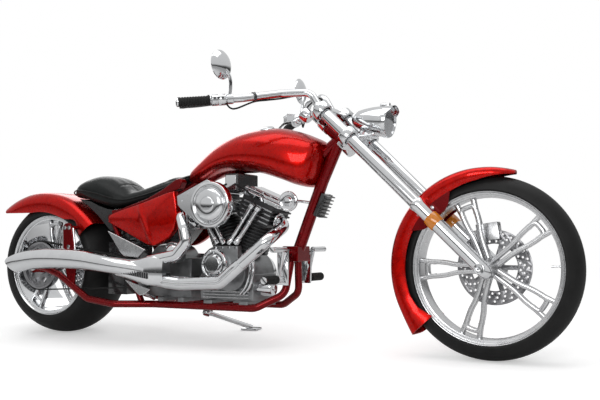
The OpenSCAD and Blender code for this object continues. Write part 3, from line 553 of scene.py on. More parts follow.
class Repeats:
    """The trees for what repeats on the machine."""

    def __init__(self, stance: Stance) -> None:
        """Builds the trees."""
        self.stance = stance
        self.wheel = self._wheel_tree()
        self.bolts = self._bolt_tree()
        self.stack = self._stack_tree()

    @staticmethod
    def _wheel_tree() -> Tree:
        """Turns copies of a shape evenly round local Z.

        Returns:
            The tree.
        """
        tree = Tree("evenly_round", {"Count": "Int", "Material": "Material"})
        line = tree.node("GeometryNodeMeshLine")
        line.inputs["Offset"].default_value = (0, 0, 0)
        index = tree.node("GeometryNodeInputIndex")
        share = tree.node("ShaderNodeMath", operation="DIVIDE")
        angle = tree.node("ShaderNodeMath", operation="MULTIPLY")
        angle.inputs[1].default_value = 2 * math.pi
        euler = tree.node("ShaderNodeCombineXYZ")
        turn = tree.node("FunctionNodeEulerToRotation")
        copies = tree.node("GeometryNodeInstanceOnPoints")
        wire(tree.group.links, (tree.start.outputs["Count"], line.inputs["Count"]),
             (index.outputs[0], share.inputs[0]), (tree.start.outputs["Count"], share.inputs[1]),
             (share.outputs[0], angle.inputs[0]), (angle.outputs[0], euler.inputs["Z"]),
             (euler.outputs[0], turn.inputs[0]), (line.outputs[0], copies.inputs["Points"]),
             (tree.start.outputs["Geometry"], copies.inputs["Instance"]),
             (turn.outputs[0], copies.inputs["Rotation"]))
        return tree.close(copies.outputs[0])

    @staticmethod
    def _bolt_tree() -> Tree:
        """Puts a hexagon bolt on a washer at each point, facing its own way.

        Returns:
            The tree.
        """
        tree = Tree("bolts", {"Radius": "Float", "Height": "Float", "Sides": "Int",
                              "Material": "Material"})
        head = tree.node("GeometryNodeMeshCylinder")
        washer = tree.node("GeometryNodeMeshCylinder")
        washer.inputs["Vertices"].default_value = 20
        wide = tree.node("ShaderNodeMath", operation="MULTIPLY")
        wide.inputs[1].default_value = 1.35
        thin = tree.node("ShaderNodeMath", operation="MULTIPLY")
        thin.inputs[1].default_value = 0.4
        up = tree.node("ShaderNodeCombineXYZ")
        half = tree.node("ShaderNodeMath", operation="MULTIPLY")
        half.inputs[1].default_value = 0.5
        raised = tree.node("GeometryNodeTransform")
        both = tree.node("GeometryNodeJoinGeometry")
        facing = tree.node("GeometryNodeInputNamedAttribute", data_type="FLOAT_VECTOR")
        facing.inputs["Name"].default_value = "facing"
        aim = tree.node("FunctionNodeAlignRotationToVector", axis="Z")
        copies = tree.node("GeometryNodeInstanceOnPoints")
        begin = tree.start.outputs
        wire(tree.group.links, (begin["Sides"], head.inputs["Vertices"]),
             (begin["Radius"], head.inputs["Radius"]), (begin["Height"], head.inputs["Depth"]),
             (begin["Radius"], wide.inputs[0]), (wide.outputs[0], washer.inputs["Radius"]),
             (begin["Height"], thin.inputs[0]), (thin.outputs[0], washer.inputs["Depth"]),
             (begin["Height"], half.inputs[0]), (half.outputs[0], up.inputs["Z"]),
             (head.outputs["Mesh"], raised.inputs["Geometry"]),
             (up.outputs[0], raised.inputs["Translation"]), (raised.outputs[0], both.inputs[0]),
             (washer.outputs["Mesh"], both.inputs[0]),
             (facing.outputs["Attribute"], aim.inputs["Vector"]),
             (begin["Geometry"], copies.inputs["Points"]),
             (both.outputs[0], copies.inputs["Instance"]),
             (aim.outputs[0], copies.inputs["Rotation"]))
        return tree.close(copies.outputs[0])

    @staticmethod
    def _stack_tree() -> Tree:
        """Sets copies of a shape in a row, a step apart.

        Returns:
            The tree.
        """
        tree = Tree("in_a_row", {"Count": "Int", "Step": "Vector", "Material": "Material"})
        line = tree.node("GeometryNodeMeshLine")
        copies = tree.node("GeometryNodeInstanceOnPoints")
        wire(tree.group.links, (tree.start.outputs["Count"], line.inputs["Count"]),
             (tree.start.outputs["Step"], line.inputs["Offset"]),
             (line.outputs[0], copies.inputs["Points"]),
             (tree.start.outputs["Geometry"], copies.inputs["Instance"]))
        return tree.close(copies.outputs[0])

    def bolt_field(self, name: str, places: list, material: bpy.types.Material,
                   radius: float = 6.0, height: float = 5.0, sides: int = 6) -> bpy.types.Object:
        """Bolts at places.

        Args:
            name: The piece's name.
            places: Pairs of a point and the way that the head faces.
            material: The finish.
            radius: The head's radius.
            height: The head's height.
            sides: Sides of the head, 6 for a hexagon.

        Returns:
            The piece.
        """
        matrix = self.stance.matrix()
        turn = matrix.to_3x3().normalized()
        mesh = bpy.data.meshes.new(name)
        mesh.from_pydata([tuple(matrix @ Vector([float(c) for c in p])) for p, _ in places], [], [])
        facing = mesh.attributes.new("facing", "FLOAT_VECTOR", "POINT")
        for i, (_, way) in enumerate(places):
            facing.data[i].vector = turn @ Vector([float(c) for c in way])
        seed = bpy.data.objects.new(name + "_seed", mesh)
        bpy.context.scene.collection.objects.link(seed)
        values = {"Radius": radius * MM, "Height": height * MM, "Sides": sides,
                  "Material": material}
        return self.bolts.run(seed, values, name)

    def row(self, seed: bpy.types.Object, name: str, count: int, step: Array,
            material: bpy.types.Material) -> bpy.types.Object:
        """Copies of a piece in a straight row."""
        turn = self.stance.matrix().to_3x3()
        values = {"Count": count, "Step": turn @ Vector([float(c) for c in step]),
                  "Material": material}
        return self.stack.run(seed, values, name)


# ---- Finishes ----


def shader_group(name: str, inputs: list, outputs: list) -> tuple:
    """Starts a shader node group.

    Args:
        name: Its name.
        inputs: Names, kinds and first values.
        outputs: Names and kinds.

    Returns:
        The group, its input node and its output node.
    """
    group = bpy.data.node_groups.new(name, "ShaderNodeTree")
    for label, kind, value in inputs:
        socket = group.interface.new_socket(label, in_out="INPUT", socket_type="NodeSocket" + kind)
        if value is not None:
            socket.default_value = value
    for label, kind in outputs:
        group.interface.new_socket(label, in_out="OUTPUT", socket_type="NodeSocket" + kind)
    return group, group.nodes.new("NodeGroupInput"), group.nodes.new("NodeGroupOutput")


def math_node(tree: bpy.types.NodeTree, operation: str, second: float | None = None,
              third: float | None = None) -> bpy.types.Node:
    """Adds a math node.

    Args:
        tree: The tree or group.
        operation: What it does.
        second: The second value, where it is fixed.
        third: The third value, where it is fixed.

    Returns:
        The node.
    """
    node = tree.nodes.new("ShaderNodeMath")
    node.operation = operation
    for place, value in ((1, second), (2, third)):
        if value is not None:
            node.inputs[place].default_value = value
    return node


class SharedEffects:
    """Node groups that several finishes use."""

    def __init__(self) -> None:
        """Builds the groups."""
        self.clouds = self._clouds()
        self.grain = self._grain()

    @staticmethod
    def _clouds() -> bpy.types.NodeTree:
        """Two colours and two roughnesses mixed by a soft noise.

        Returns:
            The group.
        """
        group, start, end = shader_group(
            "clouds",
            [("Vector", "Vector", None), ("Scale", "Float", 20.0), ("Sharpness", "Float", 1.0),
             ("First", "Color", None), ("Second", "Color", None),
             ("Low", "Float", 0.1), ("High", "Float", 0.2)],
            [("Color", "Color"), ("Roughness", "Float"), ("Mask", "Float")])
        nodes, links = group.nodes, group.links
        noise = nodes.new("ShaderNodeTexNoise")
        noise.inputs["Detail"].default_value = 6
        noise.inputs["Roughness"].default_value = 0.62
        centre = math_node(group, "SUBTRACT", 0.5)
        sharp = math_node(group, "MULTIPLY_ADD", third=0.5)
        sharp.use_clamp = True
        mix = nodes.new("ShaderNodeMix")
        mix.data_type = "RGBA"
        blend = nodes.new("ShaderNodeMix")
        wire(links, (start.outputs["Vector"], noise.inputs["Vector"]),
             (start.outputs["Scale"], noise.inputs["Scale"]), (noise.outputs[0], centre.inputs[0]),
             (centre.outputs[0], sharp.inputs[0]), (start.outputs["Sharpness"], sharp.inputs[1]),
             (sharp.outputs[0], mix.inputs[0]), (start.outputs["First"], mix.inputs[6]),
             (start.outputs["Second"], mix.inputs[7]), (sharp.outputs[0], blend.inputs[0]),
             (start.outputs["Low"], blend.inputs[2]), (start.outputs["High"], blend.inputs[3]),
             (mix.outputs[2], end.inputs["Color"]), (blend.outputs[0], end.inputs["Roughness"]),
             (sharp.outputs[0], end.inputs["Mask"]))
        return group

    @staticmethod
    def _grain() -> bpy.types.NodeTree:
        """A height from fine cells and noise, for leather and castings.

        Returns:
            The group.
        """
        group, start, end = shader_group(
            "grain",
            [("Vector", "Vector", None), ("Scale", "Float", 300.0), ("Cells", "Float", 0.5)],
            [("Height", "Float")])
        nodes, links = group.nodes, group.links
        noise = nodes.new("ShaderNodeTexNoise")
        noise.inputs["Detail"].default_value = 3
        cells = nodes.new("ShaderNodeTexVoronoi")
        cells.feature = "DISTANCE_TO_EDGE"
        mix = nodes.new("ShaderNodeMix")
        for node in (noise, cells):
            wire(links, (start.outputs["Vector"], node.inputs["Vector"]),
                 (start.outputs["Scale"], node.inputs["Scale"]))
        wire(links, (start.outputs["Cells"], mix.inputs[0]), (noise.outputs[0], mix.inputs[2]),
             (cells.outputs[0], mix.inputs[3]), (mix.outputs[0], end.inputs["Height"]))
        return group


@dataclass(frozen=True)
class Finish:
    """A surface finish. Colours are linear."""

    name: str
    first: tuple
    second: tuple
    low: float = 0.3
    high: float = 0.4
    cloud_scale: float = 20.0
    sharpness: float = 1.6
    metal: float = 0.0
    coat: float = 0.0
    grain_scale: float = 0.0
    grain_cells: float = 0.0
    grain_depth: float = 0.0
    sheen: float = 0.0
    shine: float = 0.5

    def build(self, effects: SharedEffects) -> bpy.types.Material:
        """Builds the material.

        Args:
            effects: The shared groups.

        Returns:
            The material.
        """
        material = bpy.data.materials.new(self.name)
        material.use_nodes = True
        tree = material.node_tree
        shader = tree.nodes["Principled BSDF"]
        where = tree.nodes.new("ShaderNodeTexCoord")
        clouds = tree.nodes.new("ShaderNodeGroup")
        clouds.node_tree = effects.clouds
        clouds.inputs["Scale"].default_value = self.cloud_scale
        clouds.inputs["Sharpness"].default_value = self.sharpness
        clouds.inputs["First"].default_value = (*self.first, 1)
        clouds.inputs["Second"].default_value = (*self.second, 1)
        clouds.inputs["Low"].default_value = self.low
        clouds.inputs["High"].default_value = self.high
        wire(tree.links, (where.outputs["Object"], clouds.inputs["Vector"]),
             (clouds.outputs["Color"], shader.inputs["Base Color"]),
             (clouds.outputs["Roughness"], shader.inputs["Roughness"]))
        shader.inputs["Metallic"].default_value = self.metal
        shader.inputs["Coat Weight"].default_value = self.coat
        shader.inputs["Coat Roughness"].default_value = 0.03
        shader.inputs["Sheen Weight"].default_value = self.sheen
        shader.inputs["Specular IOR Level"].default_value = self.shine
        if self.grain_depth:
            grain = tree.nodes.new("ShaderNodeGroup")
            grain.node_tree = effects.grain
            grain.inputs["Scale"].default_value = self.grain_scale
            grain.inputs["Cells"].default_value = self.grain_cells
            bump = tree.nodes.new("ShaderNodeBump")
            bump.inputs["Strength"].default_value = self.grain_depth
            bump.inputs["Distance"].default_value = 0.001
            wire(tree.links, (where.outputs["Object"], grain.inputs["Vector"]),
                 (grain.outputs["Height"], bump.inputs["Height"]),
                 (bump.outputs["Normal"], shader.inputs["Normal"]))
        return material


class Coat(Enum):
    """Every finish on the machine."""

    CANDY = Finish("candy_red_lacquer", (0.30, 0.0009, 0.0006), (0.62, 0.006, 0.002), 0.22, 0.34,
                   48.0, 1.1, metal=0.85, coat=0.28, shine=0.1)
    MAROON = Finish("maroon_frame_paint", (0.12, 0.0006, 0.002), (0.22, 0.002, 0.004), 0.22, 0.32,
                    24.0, 1.0, metal=0.7, coat=0.25, shine=0.1)
    CHROME = Finish("chrome_plate", (0.62, 0.63, 0.645), (0.74, 0.75, 0.76), 0.04, 0.11, 14.0, metal=1)
    ALLOY = Finish("polished_alloy", (0.52, 0.525, 0.54), (0.66, 0.665, 0.67), 0.2, 0.32, 18.0,
                   metal=1, grain_scale=500, grain_depth=0.02)
    CAST = Finish("cast_alloy", (0.16, 0.165, 0.17), (0.30, 0.305, 0.31), 0.3, 0.5, 26.0,
                  metal=0.9, grain_scale=420, grain_depth=0.12)
    BLACK_FIN = Finish("black_cylinder_enamel", (0.012, 0.012, 0.013), (0.03, 0.03, 0.032), 0.35,
                       0.55, 30.0, coat=0.15, grain_scale=600, grain_depth=0.15, shine=0.3)
    ENAMEL = Finish("black_enamel", (0.01, 0.01, 0.011), (0.02, 0.02, 0.022), 0.2, 0.32, 24.0,
                    coat=0.6)
    STEEL = Finish("disc_steel", (0.20, 0.20, 0.21), (0.34, 0.34, 0.35), 0.22, 0.36, 40.0, metal=1)
    RUBBER = Finish("rubber", (0.007, 0.007, 0.007), (0.016, 0.016, 0.016), 0.5, 0.68, 36.0,
                    grain_scale=700, grain_depth=0.12, shine=0.2)
    TYRE = Finish("tyre_rubber", (0.006, 0.006, 0.006), (0.014, 0.014, 0.014), 0.42, 0.62, 22.0,
                  grain_scale=800, grain_depth=0.1, shine=0.2)
    LEATHER = Finish("seat_leather", (0.006, 0.007, 0.007), (0.016, 0.018, 0.018), 0.28, 0.44,
                     16.0, grain_scale=420, grain_cells=0.7, grain_depth=0.28, shine=0.16)
    AMBER = Finish("amber_lens", (0.52, 0.15, 0.004), (0.66, 0.22, 0.008), 0.12, 0.2, 60.0, coat=0.6)
    RED_LENS = Finish("red_lens", (0.30, 0.005, 0.005), (0.42, 0.01, 0.01), 0.1, 0.16, 60.0,
                      coat=0.8)
    GLASS = Finish("lamp_glass", (0.36, 0.38, 0.40), (0.52, 0.54, 0.56), 0.04, 0.08, 30.0,
                   metal=0.75, coat=1.0)
    MIRROR = Finish("mirror_glass", (0.86, 0.87, 0.88), (0.9, 0.9, 0.9), 0.01, 0.02, 8.0, metal=1)
    DIAL = Finish("dial_face", (0.75, 0.75, 0.73), (0.85, 0.85, 0.83), 0.4, 0.5, 40.0)


class Workshop:
    """What every sub-assembly needs: the frame, the stance, the finishes and the repeats."""

    def __init__(self, frame: dict) -> None:
        """Builds the finishes and the repeats for a loaded frame.
        """
        self.frame = frame
        self.layout = Layout()
        self.stance = Stance.of(frame["joints"], self.layout.rear_radius)
        effects = SharedEffects()
        self.paint = {coat: coat.value.build(effects) for coat in Coat}
        self.repeats = Repeats(self.stance)

    def draft(self) -> Draft:
        """An empty draft."""
        return Draft(self.stance)

    def mount(self, piece: bpy.types.Object, body: str, slot: str,
              *nodes: str) -> bpy.types.Object:
        """Puts a finished piece on its body.

        Args:
            piece: The piece.
            body: The body that it moves with.
            slot: The record's material slot; not used.
            nodes: The frame nodes that it stands for.

        Returns:
            The piece.
        """
        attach(piece, body)
        if nodes:
            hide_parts(*nodes)
        LOG.info("%s rides on %s", piece.name, body)
        return piece

    def place(self, draft: Draft, name: str, coat: Coat, body: str, slot: str, *nodes: str,
              smooth: float = 35, bevel: float = 0) -> bpy.types.Object:
        """Makes a piece from a draft and puts it on its body.

        Args:
            draft: The draft.
            name: The piece's name.
            coat: Its finish.
            body: The body that it moves with.
            slot: The record's material slot.
            nodes: The frame nodes that it stands for.
            smooth: Edges sharper than this many degrees stay sharp.
            bevel: The rounding of its edges, in millimetres.

        Returns:
            The piece.
        """
        piece = draft.piece(name, self.paint[coat], smooth, bevel)
        return self.mount(piece, body, slot, *nodes)

    def rework(self, node: str, coat: Coat, body: str, slot: str, bevel: float = 1.5,
               smooth: float = 32) -> bpy.types.Object:
        """Stands a copy with rounded edges for a frame node.

        Args:
            node: The node.
            coat: Its finish.
            body: The body that it moves with.
            slot: The record's material slot.
            bevel: The rounding of its edges, in millimetres.
            smooth: Edges sharper than this many degrees are rounded.

        Returns:
            The piece.
        """
        copy = worked_copy(self.frame["nodes"][node], node + "_finished", self.paint[coat],
                           bevel, smooth)
        return self.mount(copy, body, slot, node)


# ---- Chassis ----


@dataclass
class Chassis:
    """The frame's tubes, plates, posts and the stand."""

    shop: Workshop
    tube_r: float = 25.0
    rail_r: float = 16.0
    rail_z: float = 165.0
    rail_y: float = 120.0
    stay_y: float = 206.0

    def build(self) -> None:
        """Builds every piece of the chassis."""
        self.main_tubes()
        self.rails()
        self.plates()
        self.stand()

    def main_tubes(self) -> None:
        """Head tube, backbone, down tube and their junction."""
        shop, lay = self.shop, self.shop.layout
        head = lay.on_fork(0, 0, (lay.head_low + lay.head_high) / 2)
        low, high = lay.on_fork(0, 0, lay.head_low), lay.on_fork(0, 0, lay.head_high)
        outline = [(0, 31), (3, 33), (14, 33), (18, 30), (100, 30), (104, 33), (115, 33), (118, 31)]
        neck = shop.draft().turned(low, high - low, outline, 48)
        shop.place(neck, "head_tube_turned", Coat.MAROON, "frame", "frame_red", "head_tube",
                   bevel=1)
        cross = at(392, 0, 556)
        path = [lay.on_fork(-6, 0, lay.head_low + 42), head + at(-120, 0, -110),
                at(head[0] - 564, 0, 766), at(620, 0, 618), cross]
        spine = shop.draft().tube(bent_route(path, 120), self.tube_r, 32)
        shop.place(spine, "backbone_tube", Coat.MAROON, "frame", "frame_red", "backbone")
        junction = at(head[0] - 200, 0, 392)
        path = [lay.on_fork(-6, 0, lay.head_low + 42), head + at(-72, 0, -185),
                junction + at(6, 0, 0)]
        down = shop.draft().tube(bent_route(path, 220), self.tube_r, 32)
        down.block(junction, at(1, 0, 0), at(0, 1, 0), (74, 110, 64))
        shop.place(down, "down_tube_welded", Coat.MAROON, "frame", "frame_red", "down_tube",
                   bevel=4)

    def rails(self) -> None:
        """The two lower rails and the seat posts."""
        shop = self.shop
        front = 1503.8 - 200 - 20
        y, s = self.rail_y, self.stay_y
        path = [at(front + 12, -32, 360), at(front, -60, self.rail_z + 60),
                at(front - 110, -y, self.rail_z), at(640, -y, self.rail_z),
                at(480, -s, self.rail_z), at(330, -s, self.rail_z + 18), at(155, -s, 290),
                at(66, -s, 318), at(20, -s, 325)]
        for side, node in ((1, "right_lower_rail"), (-1, "left_lower_rail")):
            flipped = [p * at(1, side, 1) for p in path]
            rail = shop.draft().tube(bent_route(flipped, 60), self.rail_r, 26)
            shop.place(rail, node + "_tube", Coat.MAROON, "frame", "frame_red", node)
        posts = shop.draft().rod(at(584, -128, self.rail_z), at(392, -115, 556), 14).mirrored()
        posts.rod(at(392, -129, 556), at(392, 129, 556), 14)
        shop.place(posts, "seat_posts_tube", Coat.MAROON, "frame", "frame_red", "seat_posts")

    def plates(self) -> None:
        """Axle plates and fender struts with bright edges."""
        shop, s = self.shop, self.stay_y
        ring = [(34 * math.cos(a), 330 + 34 * math.sin(a))
                for a in np.linspace(0.2, 1.5 * math.pi, 30)]
        ring += [(10, 300), (66, 298), (66, 334), (34, 337)]
        plates = shop.draft().side_plate(ring, -s - 7, -s + 7).mirrored()
        shop.place(plates, "axle_plates_cut", Coat.MAROON, "frame", "frame_red", "axle_plates",
                   bevel=2)
        outline = [(214, 258), (248, 240), (257, 306), (250, 400), (232, 500), (224, 524), (206, 531),
                   (186, 527), (176, 512), (180, 400), (198, 306)]
        strut = shop.draft().side_plate(outline, -s - 6, -s + 6)
        strut.rod(at(188, -s + 6, 508), at(188, -160, 508), 9)
        strut.rod(at(216, -s + 6, 508), at(216, -160, 508), 9)
        shop.place(strut.mirrored(), "fender_struts_cut", Coat.MAROON, "frame", "frame_red",
                   "fender_struts", bevel=3)
        trim = shop.draft()
        for a, b in (((180, 318), (172, 508)), ((262, 318), (236, 506))):
            trim.rod(at(a[0], -s, a[1]), at(b[0], -s, b[1]), 5, 16)
        shop.place(trim.mirrored(), "strut_edges", Coat.CHROME, "frame", "chrome")
        places = [(at(x, side * (s + 6), z), at(0, side, 0)) for side in (-1, 1)
                  for x, z in ((190, 508), (216, 508), (214, 420), (222, 340))]
        shop.mount(shop.repeats.bolt_field("strut_bolts", places, shop.paint[Coat.CHROME], 7, 5),
                   "frame", "chrome")

    def stand(self) -> None:
        """The side stand and its bracket."""
        shop = self.shop
        shop.rework("stand_bracket", Coat.MAROON, "frame", "frame_red", 1.0)
        shop.rework("side_stand", Coat.CHROME, "side_stand", "chrome", 1.5)


# ---- Engine ----


@dataclass
class Engine:
    """The V-twin, the gearbox and the drive."""

    shop: Workshop
    fin_r: float = 80.0
    head_low: float = 250.0
    height: float = 383.0
    cam_y: float = 128.0

    def build(self) -> None:
        """Builds every piece of the engine."""
        shop = self.shop
        shop.rework("engine_case", Coat.CAST, "frame", "polished_alloy", 3)
        shop.rework("transmission", Coat.CAST, "frame", "polished_alloy", 3)
        shop.rework("primary_cover", Coat.CHROME, "frame", "chrome", 9)
        shop.rework("intake", Coat.ALLOY, "frame", "polished_alloy", 2)
        for node in ("front_cylinder", "rear_cylinder"):
            shop.rework(node, Coat.BLACK_FIN, "frame", "dark_engine", 0.8)
        self.head_trim()
        self.rockers()
        self.pushrods()
        self.cam_cover()
        self.air_cleaner()
        self.trimmings()
        self.wiring()
        shop.rework("drive_belt", Coat.RUBBER, "frame", "rubber", 0.8)

    def head_trim(self) -> None:
        """Bright machined edges on the fins."""
        shop, lay = self.shop, self.shop.layout
        fins = shop.draft()
        for side in (-1, 1):
            for i in range(4):
                up = self.head_low + 12 + i * 19
                for y in (-80.4,):
                    a = lay.on_cylinder(side, -62 if side == 1 else -84, y, up + 3.5)
                    b = lay.on_cylinder(side, 84 if side == 1 else 62, y, up + 3.5)
                    fins.block((a + b) / 2, unit(b - a), at(0, 1, 0),
                               (float(np.linalg.norm(b - a)), 1.2, 5.5))
        shop.place(fins, "fin_edges", Coat.ALLOY, "frame", "polished_alloy")

    def rockers(self) -> None:
        """Rocker boxes in three steps with screws."""
        shop, lay = self.shop, self.shop.layout
        boxes, screws = shop.draft(), []
        steps = ((343, 363, 100, 72), (363, 377, 92, 66), (377, 385, 74, 50))
        for side in (-1, 1):
            x_way = lay.on_cylinder(side, 1, 0, 0) - lay.on_cylinder(side, 0, 0, 0)
            for low, high, half_l, half_w in steps:
                boxes.block(lay.on_cylinder(side, 0, 0, (low + high) / 2), x_way, at(0, 1, 0),
                            (2 * half_l, 2 * half_w, high - low))
            up = lay.on_cylinder(side, 0, 0, 1) - lay.on_cylinder(side, 0, 0, 0)
            for x in (-84, -42, 0, 42, 84):
                for y in (-57, 57):
                    screws.append((lay.on_cylinder(side, x, y, 377.5), up))
            for x in (-80, -30, 30, 80):
                screws.append((lay.on_cylinder(side, x, -72.2, 353), at(0, -1, 0)))
        shop.place(boxes, "rocker_boxes_stepped", Coat.CHROME, "frame", "chrome", "rocker_boxes",
                   bevel=5)
        shop.mount(shop.repeats.bolt_field("rocker_screws", screws, shop.paint[Coat.CHROME], 4.5,
                                           4), "frame", "chrome")

    def pushrods(self) -> None:
        """Pushrod tubes with collars."""
        shop, lay = self.shop, self.shop.layout
        tubes = shop.draft()
        for side in (-1, 1):
            for shift in (-18, 16):
                foot = at(lay.crank[0] + side * 28 + shift, -116, lay.crank[2] + 132)
                top = lay.on_cylinder(side, shift + side * 14, -102, self.height - 60)
                length = float(np.linalg.norm(top - foot))
                tubes.turned(foot, top - foot, [
                    (0, 11), (2, 12.5), (24, 12.5), (28, 10), (32, 12), (36, 9), (length * 0.55, 9),
                    (length * 0.55 + 2, 11), (length * 0.55 + 12, 11), (length * 0.55 + 14, 9),
                    (length - 22, 9), (length - 18, 12), (length, 12)], 24)
        shop.place(tubes, "pushrod_tubes_turned", Coat.CHROME, "frame", "chrome", "pushrod_tubes",
                   bevel=0.6)

    def cam_cover(self) -> None:
        """The round cover on the right of the case, with five screws and ribs."""
        shop, lay = self.shop, self.shop.layout
        centre = at(lay.crank[0] - 48, -self.cam_y, lay.crank[2] + 46)
        outline = [(0, 68), (12, 68), (20, 63), (22, 56), (18, 52), (18, 44), (24, 40), (30, 34),
                   (31, 0)]
        cover = shop.draft().turned(centre, at(0, -1, 0), outline, 72)
        shop.place(cover, "cam_cover_turned", Coat.CHROME, "frame", "chrome", "cam_cover", bevel=1)
        ring = np.linspace(0, 2 * math.pi, 5, endpoint=False) + 0.4
        places = [(centre + at(48 * math.cos(a), -18, 48 * math.sin(a)), at(0, -1, 0))
                  for a in ring]
        shop.mount(shop.repeats.bolt_field("cam_cover_screws", places, shop.paint[Coat.CHROME],
                                           4.5, 4), "frame", "chrome")

    def air_cleaner(self) -> None:
        """The round air cleaner and its angular cover."""
        shop, lay = self.shop, self.shop.layout
        centre = at(lay.crank[0] - 20, -190, lay.crank[2] + 298)
        outline = [(-2, 96), (0, 98), (24, 98), (31, 95), (34, 88), (33, 80), (29, 76), (29, 70),
                   (38, 66), (44, 58), (46, 40), (46, 32), (50, 30), (52, 22), (52, 0)]
        cover = shop.draft().turned(centre, at(0, -1, 0), outline, 96)
        plate = [(-10, -92), (-72, -74), (-158, -10), (-170, 4), (-174, 40), (-20, 106), (20, 92),
                 (30, 60)]
        flat = [(centre[0] + x, centre[2] + z) for x, z in plate]
        cover.side_plate(flat, -212, -182)
        shop.place(cover, "air_cleaner_turned", Coat.CHROME, "frame", "chrome", "air_cleaner",
                   bevel=2)
        ring = np.linspace(0, 2 * math.pi, 3, endpoint=False) + 0.5
        places = [(centre + at(72 * math.cos(a), -30, 72 * math.sin(a)), at(0, -1, 0))
                  for a in ring]
        places += [(centre + at(x, -22, z), at(0, -1, 0)) for x, z in ((-152, 20), (-120, 50))]
        shop.mount(shop.repeats.bolt_field("air_cleaner_screws", places,
                                           shop.paint[Coat.CHROME], 5, 4), "frame", "chrome")

    def trimmings(self) -> None:
        """Coil box, horn, filter, gearbox cover, sump fins and case bolts."""
        shop, c = self.shop, at(*self.shop.layout.crank)
        coil = shop.draft().block(c + at(0, 0, 398), at(1, 0, 0), at(0, 1, 0), (70, 164, 84))
        shop.place(coil, "coil_box", Coat.ENAMEL, "frame", "black_enamel", bevel=6)
        cap = shop.draft().block(c + at(0, -85, 398), at(1, 0, 0), at(0, 1, 0), (54, 6, 66))
        cap.turned(c + at(262, -42, 312), at(0, -1, 0), [
            (-24, 0), (-24, 14), (-10, 18), (-8, 40), (6, 44), (10, 43), (12, 38), (8, 32),
            (8, 20), (14, 14), (16, 0)], 44)
        cap.tube(smooth_route([c + at(262, -24, 312), c + at(290, -10, 314),
                               c + at(352, -8, 306)]), 6, 14)
        shop.place(cap, "horn_and_coil_face", Coat.CHROME, "frame", "chrome", bevel=1.5)
        can = shop.draft().turned(c + at(112, -52, -52), at(1, 0, 0), [
            (0, 30), (8, 34), (78, 34), (84, 31), (86, 14), (92, 13), (92, 0)], 40)
        shop.place(can, "oil_filter", Coat.CHROME, "frame", "chrome", bevel=1)
        box = c + at(-272, -134, 96)
        cover = shop.draft().turned(box, at(0, -1, 0), [
            (0, 48), (6, 48), (10, 45), (10, 34), (15, 30), (19, 18), (20, 0)], 56)
        shop.place(cover, "gearbox_cover", Coat.CHROME, "frame", "chrome", bevel=1)
        fin = shop.draft().block(c + at(-14, -98, -96), at(1, 0, 0), at(0, 1, 0), (236, 12, 4.5))
        seed = fin.piece("fin_seed", shop.paint[Coat.ALLOY])
        fins = shop.repeats.row(seed, "sump_fins", 6, at(0, 0, 13), shop.paint[Coat.ALLOY])
        shop.mount(fins, "frame", "polished_alloy")
        face = at(0, -1, 0)
        places = [(c + at(-40 + 76 * math.cos(a), -128, 40 + 76 * math.sin(a)), face)
                  for a in np.radians([100, 135, 170, 205, 240])]
        places += [(c + at(x, -128, 118), face) for x in (-50, -16, 18, 52)]
        places += [(box + at(39 * math.cos(a), -10, 39 * math.sin(a)), face)
                   for a in np.linspace(0, 2 * math.pi, 6)[:-1]]
        shop.mount(shop.repeats.bolt_field("case_bolts", places, shop.paint[Coat.CHROME], 5, 4),
                   "frame", "chrome")
        left = at(0, 1, 0)
        rim = [(c + at(74 * math.cos(a), 168, 74 * math.sin(a)), left)
               for a in np.radians([-80, -45, -10, 25, 60, 95])]
        rim += [(c + at(-390 + 80 * math.cos(a), 168, -2 + 80 * math.sin(a)), left)
                for a in np.radians([100, 140, 180, 220, 260])]
        shop.mount(shop.repeats.bolt_field("primary_bolts", rim, shop.paint[Coat.CHROME], 5, 4),
                   "frame", "chrome")
        derby = shop.draft().turned(c + at(-390, 167, -2), left, [
            (0, 60), (4, 60), (7, 56), (9, 40), (10, 0)], 64)
        derby.turned(c + at(0, 167, 0), left, [(0, 50), (4, 50), (7, 46), (8, 0)], 64)
        shop.place(derby, "clutch_covers", Coat.CHROME, "frame", "chrome", bevel=1)

    def wiring(self) -> None:
        """Plug leads and an oil line, held at both ends."""
        shop, lay = self.shop, self.shop.layout
        leads = shop.draft()
        for side in (-1, 1):
            plug = lay.on_cylinder(side, side * 36, -78, 300)
            coil = at(lay.crank[0] + side * 22, -88, lay.crank[2] + 392)
            mid = (plug + coil) / 2 + at(side * 26, -34, 20)
            leads.tube(smooth_route([plug + at(0, 16, 0), plug + at(0, -16, 4), mid, coil]), 4, 12)
            leads.rod(plug + at(0, 12, 0), plug + at(0, -18, 0), 8, 16)
        shop.place(leads, "plug_leads", Coat.RUBBER, "frame", "rubber")
        line = shop.draft()
        c = at(*lay.crank)
        for dx, dz in ((0, 0), (16, -6)):
            line.tube(smooth_route([c + at(60 + dx, -100, -80), c + at(96 + dx, -112, -40 + dz),
                                    c + at(112 + dx, -108, 30 + dz), c + at(100 + dx, -92, 70)]),
                      5.5, 14)
        shop.place(line, "oil_lines", Coat.CHROME, "frame", "chrome")


# ---- Exhaust ----


